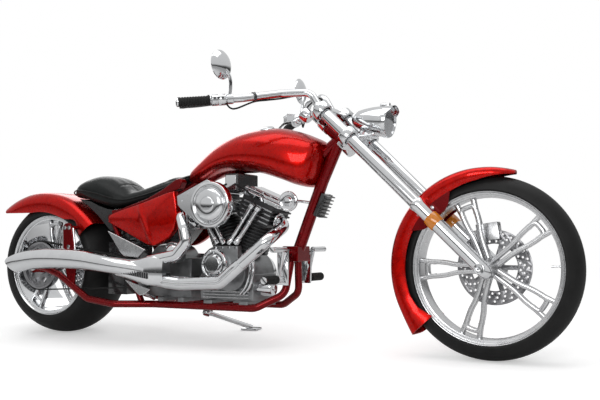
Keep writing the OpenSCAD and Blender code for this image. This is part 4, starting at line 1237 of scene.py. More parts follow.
@dataclass
class Exhaust:
    """Two pipes, a shield and the long muffler."""

    shop: Workshop
    pipe_r: float = 26.0
    y: float = 200.0
    muffler_y: float = 282.0

    def build(self) -> None:
        """Builds the pipes and the muffler."""
        self.pipes()
        self.muffler()

    def routes(self) -> tuple:
        """The centre lines of the front and the rear pipe.

        Returns:
            The two lines.
        """
        lay, y = self.shop.layout, self.y
        c = at(*lay.crank)
        cos, sin = math.cos(lay.vee_half), math.sin(lay.vee_half)
        front = lay.on_cylinder(1, 88, -20, 290)
        rear = lay.on_cylinder(-1, -88, -20, 290)
        first = [front, front + 48 * at(cos, 0, -sin), c + at(236, -y + 30, 150),
                 c + at(28, -y, -26), c + at(-180, -y, -36), c + at(-330, -y - 24, -20)]
        second = [rear, rear + 48 * at(-cos, 0, -sin), c + at(-200, -y + 26, 258),
                  c + at(-162, -y - 2, 200), c + at(-150, -y - 2, 140), c + at(-200, -y - 5, 84),
                  c + at(-330, -y - 26, 58)]
        return bent_route(first, 48), bent_route(second, 36)

    def pipes(self) -> None:
        """Both pipes, their flanges and the slotted shield."""
        shop = self.shop
        front, rear = self.routes()
        for line, name in ((front, "front"), (rear, "rear")):
            pipe = shop.draft().tube(line, self.pipe_r, 32)
            way = unit(line[1] - line[0])
            pipe.turned(line[0], way, [(0, 34), (6, 36), (10, 34), (12, 29), (20, 29), (22, 26)], 32)
            node = name + "_exhaust_pipe"
            shop.place(pipe, node + "_bent", Coat.CHROME, "frame", "chrome", node)
        self.shield(front, "front_shield", 0.42, 0.93)

    def shield(self, line: Array, name: str, begin: float, end: float) -> None:
        """A half-round shield along part of a pipe, with a groove down its middle.

        Args:
            line: The pipe's centre line.
            name: The piece's name.
            begin: Where it begins, as a share of the pipe.
            end: Where it ends, as a share of the pipe.
        """
        shop = self.shop
        length = np.concatenate([[0], np.cumsum(np.linalg.norm(np.diff(line, axis=0), axis=1))])
        spots = np.linspace(begin * length[-1], end * length[-1], 40)
        stops = np.array([[np.interp(s, length, line[:, k]) for k in range(3)] for s in spots])
        ways = directions(stops)
        rings = []
        for i, (p, way) in enumerate(zip(stops, ways)):
            out = unit(at(0, -1, 0) - (at(0, -1, 0) @ way) * way)
            side = np.cross(way, out)
            fade = min(1.0, i / 3, (len(stops) - 1 - i) / 3)
            r = self.pipe_r + 1.2 + 3.2 * fade
            ring = []
            for a in np.linspace(-1.25, 1.25, 25):
                dip = 2.2 if abs(a) < 0.16 else 0.0
                ring.append(p + (r - dip * fade) * (math.cos(a) * out + math.sin(a) * side))
            for a in np.linspace(1.25, -1.25, 25):
                ring.append(p + (self.pipe_r + 0.4) * (math.cos(a) * out + math.sin(a) * side))
            rings.append(np.array(ring))
        piece = shop.draft().rings(rings).piece(name, shop.paint[Coat.CHROME], smooth=50)
        shop.mount(piece, "frame", "chrome")

    def muffler(self) -> None:
        """The long muffler with its slanted mouth."""
        shop, m = self.shop, self.muffler_y
        c = at(*shop.layout.crank)
        points = [c + at(-330, -self.y - 28, 14), at(540, -m, 340), at(360, -m, 361),
                  at(150, -m, 367), at(-10, -m, 352), at(-98, -m, 336)]
        stops = smooth_route(points, 10)
        radii = np.interp(np.linspace(0, 5, len(stops)), range(6), [40, 37, 43, 47, 44, 37])
        ways = directions(stops)
        sides = 56
        outer = []
        for p, way, r in zip(stops, ways, radii):
            side = at(0, 1, 0)
            up = np.cross(way, side)
            up = up if up[2] > 0 else -up
            near_mouth = float(np.clip(1 - (p[0] + 98) / 150, 0, 1))
            ring = []
            for k in range(sides):
                a = 2 * math.pi * k / sides
                q = p + r * (math.cos(a) * side + math.sin(a) * up)
                slant = 24 - 30 * math.sin(a) if math.sin(a) < 0.35 else 24 - 30 * 0.35
                ring.append(q + at(slant * near_mouth, 0, 0))
            outer.append(np.array(ring))
        centre = outer[-1].mean(axis=0)
        inner = [centre + (outer[-1] - centre) * 0.88, centre + (outer[-1] - centre) * 0.84
                 + at(60, 0, 8)]
        body = shop.draft().rings(outer + inner)
        shop.place(body, "muffler_cone", Coat.CHROME, "frame", "chrome", "muffler", smooth=40)
        # Painted shade: a black disc set inside the mouth stands in for the dark depth of the bore.
        mouth_shade = shop.draft().turned(centre + at(40, 0, 6), at(1, 0, 0.1), [(0, 29), (3, 0)], 40)
        shop.place(mouth_shade, "muffler_mouth_shade", Coat.ENAMEL, "frame", "black_enamel")
        self.collector(c)

    def collector(self, c: Array) -> None:
        """The shell where both pipes enter the muffler, with a ribbed plate and a bracket.

        Args:
            c: The crank's centre.
        """
        shop = self.shop
        rings = []
        shape = ((-246, 27, 319 - 300, 66), (-290, 33, 19, 67), (-330, 37, 17, 62),
                 (-372, 39, 18, 50), (-420, 39, 24, 42), (-466, 38, 31, 39))
        for x, half_w, z, half_h in rows_between(np.array(shape, float), 26):
            y = np.interp(x, [-466, -330, -246], [-self.muffler_y + 22, -229, -216])
            pairs = squircle(half_w, half_h, half_h, 0, 0.75, 40)
            rings.append(np.array([c + at(x, y + u, z + v) for u, v in pairs]))
        shell = shop.draft().rings(rings).piece("collector_shell", shop.paint[Coat.CHROME], 60)
        shop.mount(shell, "frame", "chrome")
        spine, along = c + at(-436, -self.muffler_y - 9, 20), unit(at(1, 0.22, -0.19))
        plate = shop.draft().block(spine + along * 64, along, at(0, 0, 1), (136, 26, 5))
        shop.place(plate, "heat_plate", Coat.ENAMEL, "frame", "black_enamel", bevel=1)
        rib = shop.draft().block(spine + at(0, -3, 0), along, at(0, 0, 1), (4, 24, 5))
        seed = rib.piece("rib_seed", shop.paint[Coat.ALLOY])
        ribs = shop.repeats.row(seed, "heat_plate_ribs", 13, along * 10.6, shop.paint[Coat.STEEL])
        shop.mount(ribs, "frame", "disc_steel")
        outline = [(556, 276), (700, 236), (672, 214), (640, 208), (622, 222)]
        bracket = shop.draft().side_plate(outline, -220, -210)
        bracket.rod(at(650, -214, 228), at(650, -124, 190), 9)
        shop.place(bracket, "pipe_bracket", Coat.ALLOY, "frame", "polished_alloy", bevel=3)


# ---- Bodywork ----


def squircle(half_w: float, up: float, down: float, mid: float, power: float,
             count: int) -> list:
    """A rounded section as pairs of y and z.

    Args:
        half_w: Half the width.
        up: The height above the widest line.
        down: The depth below it.
        mid: The height of the widest line.
        power: 1 is an ellipse, less is squarer.
        count: The number of points.

    Returns:
        The pairs.
    """
    pairs = []
    for a in np.linspace(0, 2 * math.pi, count, endpoint=False):
        c, s = math.cos(a), math.sin(a)
        reach = up if s >= 0 else down
        pairs.append((half_w * math.copysign(abs(c) ** power, c),
                      mid + reach * math.copysign(abs(s) ** power, s)))
    return pairs


def rows_between(rows: Array, count: int) -> Array:
    """Rows of numbers on a smooth curve through the given rows."""
    curve = smooth_route(rows, 12)
    spots = np.linspace(0, len(curve) - 1, count)
    return np.array([[np.interp(s, range(len(curve)), curve[:, k])
                      for k in range(curve.shape[1])] for s in spots])


@dataclass
class Bodywork:
    """Tank, seat, panels, fenders and lamps of the frame."""

    shop: Workshop
    tank_half: float = 150.0
    seat_half: float = 160.0
    pad_cell: float = 0.008
    pad_pressure: float = 4.0
    pad_frames: int = 16
    fender_half: float = 160.0
    fender_centre: tuple = (-38.0, 0.0, 241.0)
    fender_r: float = 442.0
    fender_span: tuple = (41.0, 123.5)
    fender_skirt: float = 92.0
    fender_corner: float = 46.0
    fender_t: float = 4.0
    lamp_turn: float = 119.5
    tank_rows: tuple = (
        (780, 742, 712, 0.30, 724), (800, 770, 706, 0.44, 738), (859, 812, 718, 0.62, 756),
        (952, 872, 750, 0.80, 790), (1051, 910, 752, 0.92, 812), (1151, 926, 738, 0.99, 812),
        (1250, 926, 708, 1.0, 800), (1329, 907, 680, 0.95, 778), (1389, 884, 674, 0.84, 768),
        (1424, 868, 716, 0.70, 792), (1441, 856, 770, 0.50, 818))
    seat_rows: tuple = (
        (138, 678, 656, 0.42), (150, 700, 650, 0.66), (172, 722, 648, 0.84), (215, 742, 644, 0.97),
        (285, 754, 620, 1.0), (345, 744, 604, 0.98), (405, 712, 596, 0.90), (462, 682, 604, 0.76),
        (530, 690, 622, 0.62), (610, 712, 645, 0.48), (700, 742, 687, 0.34), (760, 756, 720, 0.26),
        (772, 752, 728, 0.18))

    def build(self) -> None:
        """Builds the bodywork."""
        self.tank()
        self.seat()
        self.panels()
        self.rear_fender()
        self.tail_lamp()
        self.lesser()

    def tank(self) -> None:
        """The fuel tank and its cap."""
        shop = self.shop
        rows = rows_between(np.array(self.tank_rows, float), 56)
        rings = []
        for x, top, low, share, mid in rows:
            pairs = squircle(share * self.tank_half, top - mid, mid - low, mid, 0.82, 64)
            rings.append(np.array([at(x, y, z) for y, z in pairs]))
        centre_back, centre_front = rings[0].mean(axis=0), rings[-1].mean(axis=0)
        rings.insert(0, centre_back + (rings[0] - centre_back) * 0.6 - at(5, 0, 0))
        rings.append(centre_front + (rings[-1] - centre_front) * 0.75 + at(5, 0, 0))
        tank = shop.draft().rings(rings).piece("fuel_tank_skin", shop.paint[Coat.CANDY], smooth=60)
        shop.mount(tank, "frame", "candy_red", "fuel_tank")
        cap = shop.draft()
        cap.turned(at(1190, -46, 905), at(0.02, -0.32, 1), [
            (0, 40), (10, 40), (13, 34), (16, 33), (24, 31), (27, 26), (28, 0)], 40)
        shop.place(cap, "tank_cap", Coat.CHROME, "frame", "chrome", bevel=1)

    def seat(self) -> None:
        """The padded seat with a crowned rear bolster, a cross seam and piping."""
        shop = self.shop
        rows = rows_between(np.array(self.seat_rows, float), 70)
        rings = []
        for x, top, low, share in rows:
            half = share * self.seat_half
            mid = low + (top - low) * 0.42
            pairs = squircle(half, top - mid, mid - low, mid, 0.78, 72)
            ring = []
            for y, z in pairs:
                inside = max(0.0, 1 - (y / half) ** 2)
                if z > mid:
                    z -= 9 * math.exp(-((x - 470) / 90) ** 2) * inside + 2
                ring.append(at(x, y * 0.975, z))
            rings.append(np.array(ring))
        tail, nose = rings[0].mean(axis=0), rings[-1].mean(axis=0)
        rings.insert(0, tail + (rings[0] - tail) * 0.5 - at(3, 0, 0))
        rings.append(nose + (rings[-1] - nose) * 0.6 + at(3, 0, 0))
        pad = shop.draft().rings(rings).piece("seat_pad", shop.paint[Coat.LEATHER], smooth=80)
        self.plump(pad)
        self.sew(pad)
        shop.mount(pad, "frame", "seat_leather", "seat")
        piping = []
        for x, top, low, share in rows_between(np.array(self.seat_rows, float), 40)[1:-1]:
            mid = low + (top - low) * 0.42
            piping.append(at(x, share * self.seat_half, mid))
        loop = piping + [p * at(1, -1, 1) for p in piping[::-1]]
        cord = shop.draft().tube(smooth_route(loop + [loop[0]], 3), 3.2, 10)
        shop.place(cord, "seat_piping", Coat.LEATHER, "frame", "seat_leather")

    def plump(self, pad: bpy.types.Object, most: float = 0.007) -> None:
        """Swells the pad as cloth under pressure, and keeps its underside.

        Args:
            pad: The pad.
            most: The farthest that a point may move, in metres.
        """
        even = pad.modifiers.new("even", "REMESH")
        even.mode = "VOXEL"
        even.voxel_size = self.pad_cell
        self.keep_result(pad)
        scene = bpy.context.scene
        cloth = pad.modifiers.new("swell", "CLOTH")
        cloth.settings.quality = 5
        cloth.settings.use_pressure = True
        cloth.settings.uniform_pressure_force = self.pad_pressure
        cloth.settings.effector_weights.gravity = 0
        scene.frame_start, scene.frame_end = 1, self.pad_frames
        for step in range(1, self.pad_frames + 1):
            scene.frame_set(step)
        graph = bpy.context.evaluated_depsgraph_get()
        soft = pad.evaluated_get(graph).data
        back = self.shop.stance.matrix().inverted()
        moved = []
        for old, new in zip(pad.data.vertices, soft.vertices):
            shift = new.co - old.co
            x, _, z = back @ old.co
            low = float(np.interp(x, [138, 285, 345, 405, 462, 530, 610, 700, 772],
                                  [668, 650, 632, 622, 626, 640, 662, 702, 730]))
            hold = min(1.0, max(0.0, (z - low + 12) / 24))
            if shift.length > most:
                shift *= most / shift.length
            moved.append(old.co + shift * hold)
        pad.modifiers.remove(cloth)
        scene.frame_set(1)
        for vertex, place in zip(pad.data.vertices, moved):
            vertex.co = place

    @staticmethod
    def keep_result(piece: bpy.types.Object) -> None:
        """Keeps what a piece's modifiers make of it, and removes them."""
        graph = bpy.context.evaluated_depsgraph_get()
        mesh = bpy.data.meshes.new_from_object(piece.evaluated_get(graph))
        piece.modifiers.clear()
        piece.data = mesh

    def sew(self, pad: bpy.types.Object) -> None:
        """Cuts the seams into the swollen pad: one across the bolster, and two channels.

        Args:
            pad: The pad.
        """
        add_subdivision(pad, 1)
        self.keep_result(pad)
        matrix = self.shop.stance.matrix()
        back = matrix.inverted()
        for vertex in pad.data.vertices:
            x, y, z = back @ vertex.co
            if vertex.normal.z < 0.25:
                continue
            across = 3.2 * math.exp(-((x - 396 - 0.14 * abs(y)) / 4.5) ** 2)
            channel = 2.4 * math.exp(-((abs(y) - 0.13 * (x - 400)) / 4) ** 2) if 400 < x < 700 else 0
            pleat = 0.9 * math.sin(y / 9) * math.exp(-((x - 380) / 26) ** 2)
            vertex.co = matrix @ Vector((x, y, z - across - channel - pleat))
        pad.data.shade_smooth()

    def panels(self) -> None:
        """The side panels, bulged, with a crease, and their trim plates."""
        shop = self.shop
        outline = [(402, 533), (425, 570), (600, 616), (760, 662), (784, 648), (794, 559),
                   (772, 485), (714, 440), (647, 426), (544, 469), (474, 501)]
        edge = smooth_route([at(x, 0, z) for x, z in outline + outline[:1]], 14)[:-1]
        centre = at(640, 0, 545)
        levels = [(1.0, 133.0), (1.0, 151.0), (0.993, 156.0), (0.98, 159.5)]
        levels += [(0.98 * t, 159.5 + 16 * (1 - t**2.4)) for t in np.linspace(1, 0.02, 30)[1:]]
        rings = []
        for scale, y in levels:
            ring = []
            for p in edge:
                q = centre + (p - centre) * scale
                off = (q[0] - 599) * 0.924 + (q[2] - 593) * 0.386
                ridge = 5.0 * math.exp(-(off / 11) ** 2) if y > 159 else 0.0
                ring.append(at(q[0], -y - ridge, q[2]))
            rings.append(np.array(ring))
        panel = shop.draft().rings(rings).mirrored()
        shop.place(panel, "side_panels_pressed", Coat.CANDY, "frame", "candy_red", "side_panels",
                   smooth=50)
        outline = [(420, 494), (640, 408), (600, 372), (520, 378), (500, 392)]
        trim = shop.draft().side_plate(outline, -182, -172)
        trim.rod(at(472, -173, 452), at(472, -92, 452), 7)
        trim.rod(at(510, -173, 446), at(510, -92, 446), 7)
        shop.place(trim.mirrored(), "trim_plates_polished", Coat.ALLOY, "frame", "polished_alloy",
                   "trim_plates", bevel=3)
        self.under_seat()

    def under_seat(self) -> None:
        """The dark frame cover between the seat and the panels, and the seat's pan."""
        shop = self.shop
        outline = [(408, 545), (428, 574), (600, 620), (760, 666), (790, 676), (806, 704),
                   (796, 722), (772, 718), (700, 676), (610, 636), (530, 614), (462, 594),
                   (405, 588)]
        cover = shop.draft().side_plate(outline, -138, -96).mirrored()
        shop.place(cover, "seat_rail_covers", Coat.MAROON, "frame", "frame_red", bevel=5)
        outline = [(176, 648), (250, 634), (300, 612), (350, 597), (405, 590), (470, 600),
                   (560, 616), (560, 560), (430, 500), (372, 492), (345, 516), (292, 566),
                   (222, 618), (180, 642)]
        pan = shop.draft().side_plate(outline, -104, 104)
        shop.place(pan, "seat_pan", Coat.ENAMEL, "frame", "black_enamel", bevel=4)

    def rear_fender(self) -> None:
        """The wide rear fender, a bent sheet with a rolled edge."""
        shop = self.shop
        centre, outer = at(*self.fender_centre), self.fender_r
        rings = []
        for theta in np.radians(np.linspace(*self.fender_span, 64)):
            degrees = math.degrees(theta)
            depth = self.fender_skirt
            if degrees > 84:
                depth = min(depth, max(12.0, outer - 346 / math.sin(theta)))
            dip = 34 * math.exp(-((degrees - 52) / 7) ** 2)
            depth -= dip
            rings.append(self.arch_ring(centre, theta, outer, self.fender_half,
                                        self.fender_corner, depth, self.fender_t))
        sheet = shop.draft().rings(rings)
        piece = sheet.piece("rear_fender_sheet", shop.paint[Coat.CANDY], smooth=50, bevel=1.2)
        shop.mount(piece, "frame", "candy_red", "rear_fender")

    @staticmethod
    def arch_ring(centre: Array, theta: float, outer: float, half: float, corner: float,
                  depth: float, thick: float) -> Array:
        """One section of a fender: down the outside and back up the inside.

        Args:
            centre: The arch's centre.
            theta: The section's angle.
            outer: The outer radius.
            half: Half of the width.
            corner: The corner's radius.
            depth: How far the skirts reach inwards.
            thick: The sheet's thickness.

        Returns:
            The section's points.
        """
        out = at(math.cos(theta), 0, math.sin(theta))
        depth = max(depth, corner * 0.3)
        pairs = []

        def strip(r: float, w: float, c: float) -> list:
            """The section from one skirt to the other.

            Args:
                r: The radius.
                w: Half of the width.
                c: The corner's radius.

            Returns:
                Pairs of a place across and a radius.
            """
            arc = [math.radians(a) for a in (0, 15, 30, 45, 60, 75, 90)]
            right = [(-w + c - c * math.cos(a), r - c + c * math.sin(a)) for a in arc]
            skirt = r - max(depth, c * 0.3)
            if depth < c:
                right = [p for p in right if p[1] >= skirt]
                while len(right) < 7:
                    right.insert(0, right[0])
            left = [(-y, z) for y, z in right[::-1]]
            span = [(y, r + 1.5 * (1 - (y / w) ** 2)) for y in np.linspace(-w + c, w - c, 9)[1:-1]]
            return [(right[0][0], skirt)] + right + span + left + [(left[-1][0], skirt)]

        pairs = strip(outer, half, corner)
        inner = strip(outer - thick, half - thick, corner - thick)[::-1]
        return np.array([centre + r * out + at(0, y, 0) for y, r in pairs + inner])

    def tail_lamp(self) -> None:
        """The round tail lamp on the fender."""
        shop = self.shop
        turn = math.radians(self.lamp_turn)
        way = at(math.cos(turn), 0, math.sin(turn))
        base = at(*self.fender_centre) + (self.fender_r - 1) * way
        lens = shop.draft().turned(base, way, [(0, 19), (8, 19), (13, 15), (16, 8), (17, 0)], 36)
        shop.place(lens, "tail_lens", Coat.RED_LENS, "frame", "red_lens", "tail_lamp")
        ring = shop.draft().turned(base, way, [(0, 22), (6, 22), (8, 20), (6, 19), (0, 19)], 36,
                                   ring=True)
        shop.place(ring, "tail_lamp_ring", Coat.CHROME, "frame", "chrome")

    def lesser(self) -> None:
        """Oil tank, regulator, foot controls and the rear caliper."""
        shop = self.shop
        shop.rework("oil_tank", Coat.ENAMEL, "frame", "black_enamel", 4)
        shop.rework("regulator", Coat.ENAMEL, "frame", "black_enamel", 0.8)
        shop.rework("rear_caliper", Coat.ALLOY, "frame", "polished_alloy", 4)
        shop.rework("right_foot_controls", Coat.CHROME, "frame", "chrome", 1.5)
        shop.rework("left_foot_controls", Coat.CHROME, "frame", "chrome", 1.5)
        shop.rework("rear_axle", Coat.CHROME, "frame", "chrome", 1.5)
        rubbers = shop.draft()
        peg = at(1293.8, 0, 288)
        for k in range(9):
            y = -150 - k * 11
            rubbers.turned(at(peg[0], y, peg[2]), at(0, -1, 0), [(0, 15), (1, 18), (7, 18), (8, 15)],
                           24)
        shop.place(rubbers.mirrored(), "peg_rubbers", Coat.RUBBER, "frame", "rubber")


# ---- Wheels ----


@dataclass
class WheelSet:
    """One wheel: its tyre, rim, spokes and valve."""

    shop: Workshop
    body: str
    prefix: str
    centre: Array
    tyre_r: float
    tyre_half: float
    crown_r: float
    rim_r: float
    rim_half: float
    hub_r: float
    hub_half: float
    spoke_y: float
    spoke_depth: float
    first: float
    rim_coat: Coat
    rim_slot: str

    def build(self) -> None:
        """Builds the tyre, the rim and the spokes."""
        self.tyre()
        self.rim()
        self.spokes()
        self.valve()

    def turned_ring(self, pairs: list, sides: int = 160) -> Draft:
        """A closed outline of width and radius, turned round the axle."""
        return self.shop.draft().turned(self.centre, at(0, 1, 0), pairs, sides, ring=True)

    def tyre(self) -> None:
        """The tyre, with its grooves cut round the tread."""
        shop = self.shop
        reach = self.tyre_half * 0.94
        crown = self.tyre_r - self.crown_r
        tread = []
        for y in np.linspace(-reach, reach, 41):
            r = crown + math.sqrt(max(self.crown_r**2 - y**2, 1.0))
            tread.append((y, r))
        shoulder = tread[-1][1]
        bead = self.rim_r - 6
        side = []
        for t in np.linspace(0, 1, 12)[1:]:
            r = shoulder + (bead - shoulder) * t
            bulge = math.sin(math.pi * min(1.0, t * 1.1)) * 0.4
            width = reach + (self.tyre_half - reach) * (math.sin(t * math.pi * 0.62) + bulge * 0.1)
            width = min(width, self.tyre_half - 0.3)
            if t > 0.75:
                width -= (t - 0.75) * 4 * (self.tyre_half - self.rim_half - 2)
            side.append((width, r))
        inner = [(self.rim_half - 10, bead - 4), (-self.rim_half + 10, bead - 4)]
        outline = tread + side + inner + [(-y, r) for y, r in side[::-1]]
        ring = self.turned_ring(outline, 192)
        shop.mount(ring.piece(self.prefix + "_tyre_moulded", self.tread_material(), smooth=60),
                   self.body, "tyre", self.prefix + "_tyre")

    def tread_material(self) -> bpy.types.Material:
        """Tyre rubber with slanted grooves cut round the tread.

        Returns:
            The material.
        """
        shop = self.shop
        material = shop.paint[Coat.TYRE].copy()
        material.name = self.prefix + "_tread"
        tree = material.node_tree
        where = next(n for n in tree.nodes if n.bl_idname == "ShaderNodeTexCoord")
        bump = next(n for n in tree.nodes if n.bl_idname == "ShaderNodeBump")
        centre = shop.stance.place(self.centre)
        basis = Matrix((shop.stance.ahead, shop.stance.left, shop.stance.up))
        local = tree.nodes.new("ShaderNodeMapping")
        local.vector_type = "POINT"
        turn = basis.to_4x4()
        moved = -(turn.to_3x3() @ centre)
        local.inputs["Location"].default_value = moved
        local.inputs["Rotation"].default_value = turn.to_euler("XYZ")
        split = tree.nodes.new("ShaderNodeSeparateXYZ")
        angle = math_node(tree, "ARCTAN2")
        lateral = math_node(tree, "ABSOLUTE")
        slant = math_node(tree, "MULTIPLY", 26.0)
        around = math_node(tree, "MULTIPLY", 36 / (2 * math.pi))
        total = math_node(tree, "ADD")
        part = math_node(tree, "FRACT")
        groove = math_node(tree, "LESS_THAN", 0.12)
        outside = math_node(tree, "GREATER_THAN", self.tyre_half * MM * 0.3)
        inside = math_node(tree, "LESS_THAN", self.tyre_half * MM * 0.9)
        both = math_node(tree, "MULTIPLY")
        cut = math_node(tree, "MULTIPLY")
        depth = math_node(tree, "MULTIPLY_ADD", -4.0)
        links = tree.links
        wire(links, (where.outputs["Object"], local.inputs["Vector"]),
             (local.outputs[0], split.inputs[0]), (split.outputs["Z"], angle.inputs[0]),
             (split.outputs["X"], angle.inputs[1]), (split.outputs["Y"], lateral.inputs[0]),
             (lateral.outputs[0], slant.inputs[0]), (angle.outputs[0], around.inputs[0]),
             (slant.outputs[0], total.inputs[0]), (around.outputs[0], total.inputs[1]),
             (total.outputs[0], part.inputs[0]), (part.outputs[0], groove.inputs[0]),
             (lateral.outputs[0], outside.inputs[0]), (lateral.outputs[0], inside.inputs[0]),
             (outside.outputs[0], both.inputs[0]), (inside.outputs[0], both.inputs[1]),
             (groove.outputs[0], cut.inputs[0]), (both.outputs[0], cut.inputs[1]),
             (cut.outputs[0], depth.inputs[0]))
        grain = bump.inputs["Height"].links[0].from_socket
        wire(links, (grain, depth.inputs[2]), (depth.outputs[0], bump.inputs["Height"]))
        return material

    def rim(self) -> None:
        """The rim's barrel and lips, and the hub."""
        shop, r, h = self.shop, self.rim_r, self.rim_half
        outline = [(-h, r - 2), (-h, r), (-h + 3, r + 1), (-h + 6, r - 4), (-h + 8, r - 20),
                   (0, r - 22), (h - 8, r - 20), (h - 6, r - 4), (h - 3, r + 1), (h, r),
                   (h, r - 2), (h - 2, r - 9), (h - 10, r - 15), (h - 14, r - 26), (0, r - 30),
                   (-h + 14, r - 26), (-h + 10, r - 15), (-h + 2, r - 9)]
        ring = self.turned_ring(outline)
        hub, w = self.hub_r, self.hub_half
        ring.turned(self.centre, at(0, 1, 0), [
            (-w, 14), (-w, hub * 0.62), (-w + 6, hub * 0.7), (-w + 14, hub * 0.72),
            (self.spoke_y - self.spoke_depth * 0.6, hub), (self.spoke_y + self.spoke_depth * 0.6, hub),
            (w - 14, hub * 0.72), (w - 4, hub * 0.7), (w, hub * 0.6), (w, 14)], 64, ring=True)
        shop.mount(ring.piece(self.prefix + "_rim_turned", shop.paint[self.rim_coat], bevel=0.8),
                   self.body, self.rim_slot, self.prefix + "_rim")

    def spokes(self) -> None:
        """Five looped double spokes."""
        shop = self.shop
        near, far, b = self.hub_r * 0.6, self.rim_r - 27, self.rim_r * 0.031
        reach = far - near
        legs = [at(near, -b - 2.5, 0), at(near + 0.3 * reach, -b - 4, 0),
                at(near + 0.46 * reach, -b - 8, 0), at(near + 0.6 * reach, -b - 15, 0),
                at(near + 0.8 * reach, -b - 19, 0), at(near + 0.885 * reach, -b - 14, 0),
                at(near + 0.9 * reach, 0, 0)]
        path = smooth_route(legs + [p * at(1, -1, 1) for p in legs[::-1][1:]], 7)
        spoke = [self.spoke_ring(p, way, b, (p[0] - near) / reach)
                 for p, way in zip(path, directions(path))]
        seed = Draft(self.shop.stance).rings(spoke)
        for side in (-1, 1):
            foot = np.linspace(at(near + 0.76 * reach, side * (b + 17), 0),
                               at(far + 5, side * (b + 26), 0), 4)
            seed.rings([self.spoke_ring(p, way, b, 0.9)
                        for p, way in zip(foot, directions(foot))])
        mesh = bpy.data.meshes.new("spoke")
        mesh.from_pydata(seed.points, [], seed.faces)
        work = bmesh.new()
        work.from_mesh(mesh)
        bmesh.ops.recalc_face_normals(work, faces=work.faces)
        work.to_mesh(mesh)
        work.free()
        shape = bpy.data.objects.new("spoke_seed", mesh)
        bpy.context.scene.collection.objects.link(shape)
        turn = Matrix.Rotation(math.radians(self.first), 4, at(0, 1, 0) * -1)
        wheel = Matrix(((1, 0, 0, 0), (0, 0, -1, 0), (0, 1, 0, 0), (0, 0, 0, 1)))
        shift = Matrix.Translation([float(v) for v in self.centre + at(0, self.spoke_y, 0)])
        place = self.shop.stance.matrix() @ shift @ turn @ wheel
        made = shop.repeats.wheel.run(shape, {"Count": 5, "Material": shop.paint[self.rim_coat]},
                                      self.prefix + "_spokes", place, 50)
        shop.mount(made, self.body, self.rim_slot)

    def spoke_ring(self, p: Array, way: Array, half_t: float, reach: float) -> Array:
        """The squared section of a spoke's arm.

        Args:
            p: The middle of the section.
            way: The arm's direction.
            half_t: Half its width.
            reach: How far out it is, from 0 at the hub to 1 at the rim.

        Returns:
            The section's points.
        """
        across = at(-way[1], way[0], 0)
        half_d = self.spoke_depth * (0.56 - 0.18 * reach)
        ring = []
        for a in np.linspace(0, 2 * math.pi, 16, endpoint=False):
            c, s = math.cos(a), math.sin(a)
            ring.append(p + half_t * math.copysign(abs(c) ** 0.4, c) * across
                        + half_d * math.copysign(abs(s) ** 0.4, s) * at(0, 0, 1))
        return np.array(ring)

    def valve(self) -> None:
        """The tyre's valve stem."""
        shop = self.shop
        turn = math.radians(self.first - 36)
        way = at(-math.cos(turn), 0, -math.sin(turn))
        base = self.centre - (self.rim_r - 27) * way + at(0, -self.rim_half * 0.35, 0)
        stem = shop.draft().turned(base, way, [(0, 5), (6, 5), (8, 3.2), (26, 3.2), (27, 4), (36, 4),
                                               (37, 0)], 14)
        shop.place(stem, self.prefix + "_valve", Coat.CHROME, self.body, "chrome")


# ---- Fork and bars ----


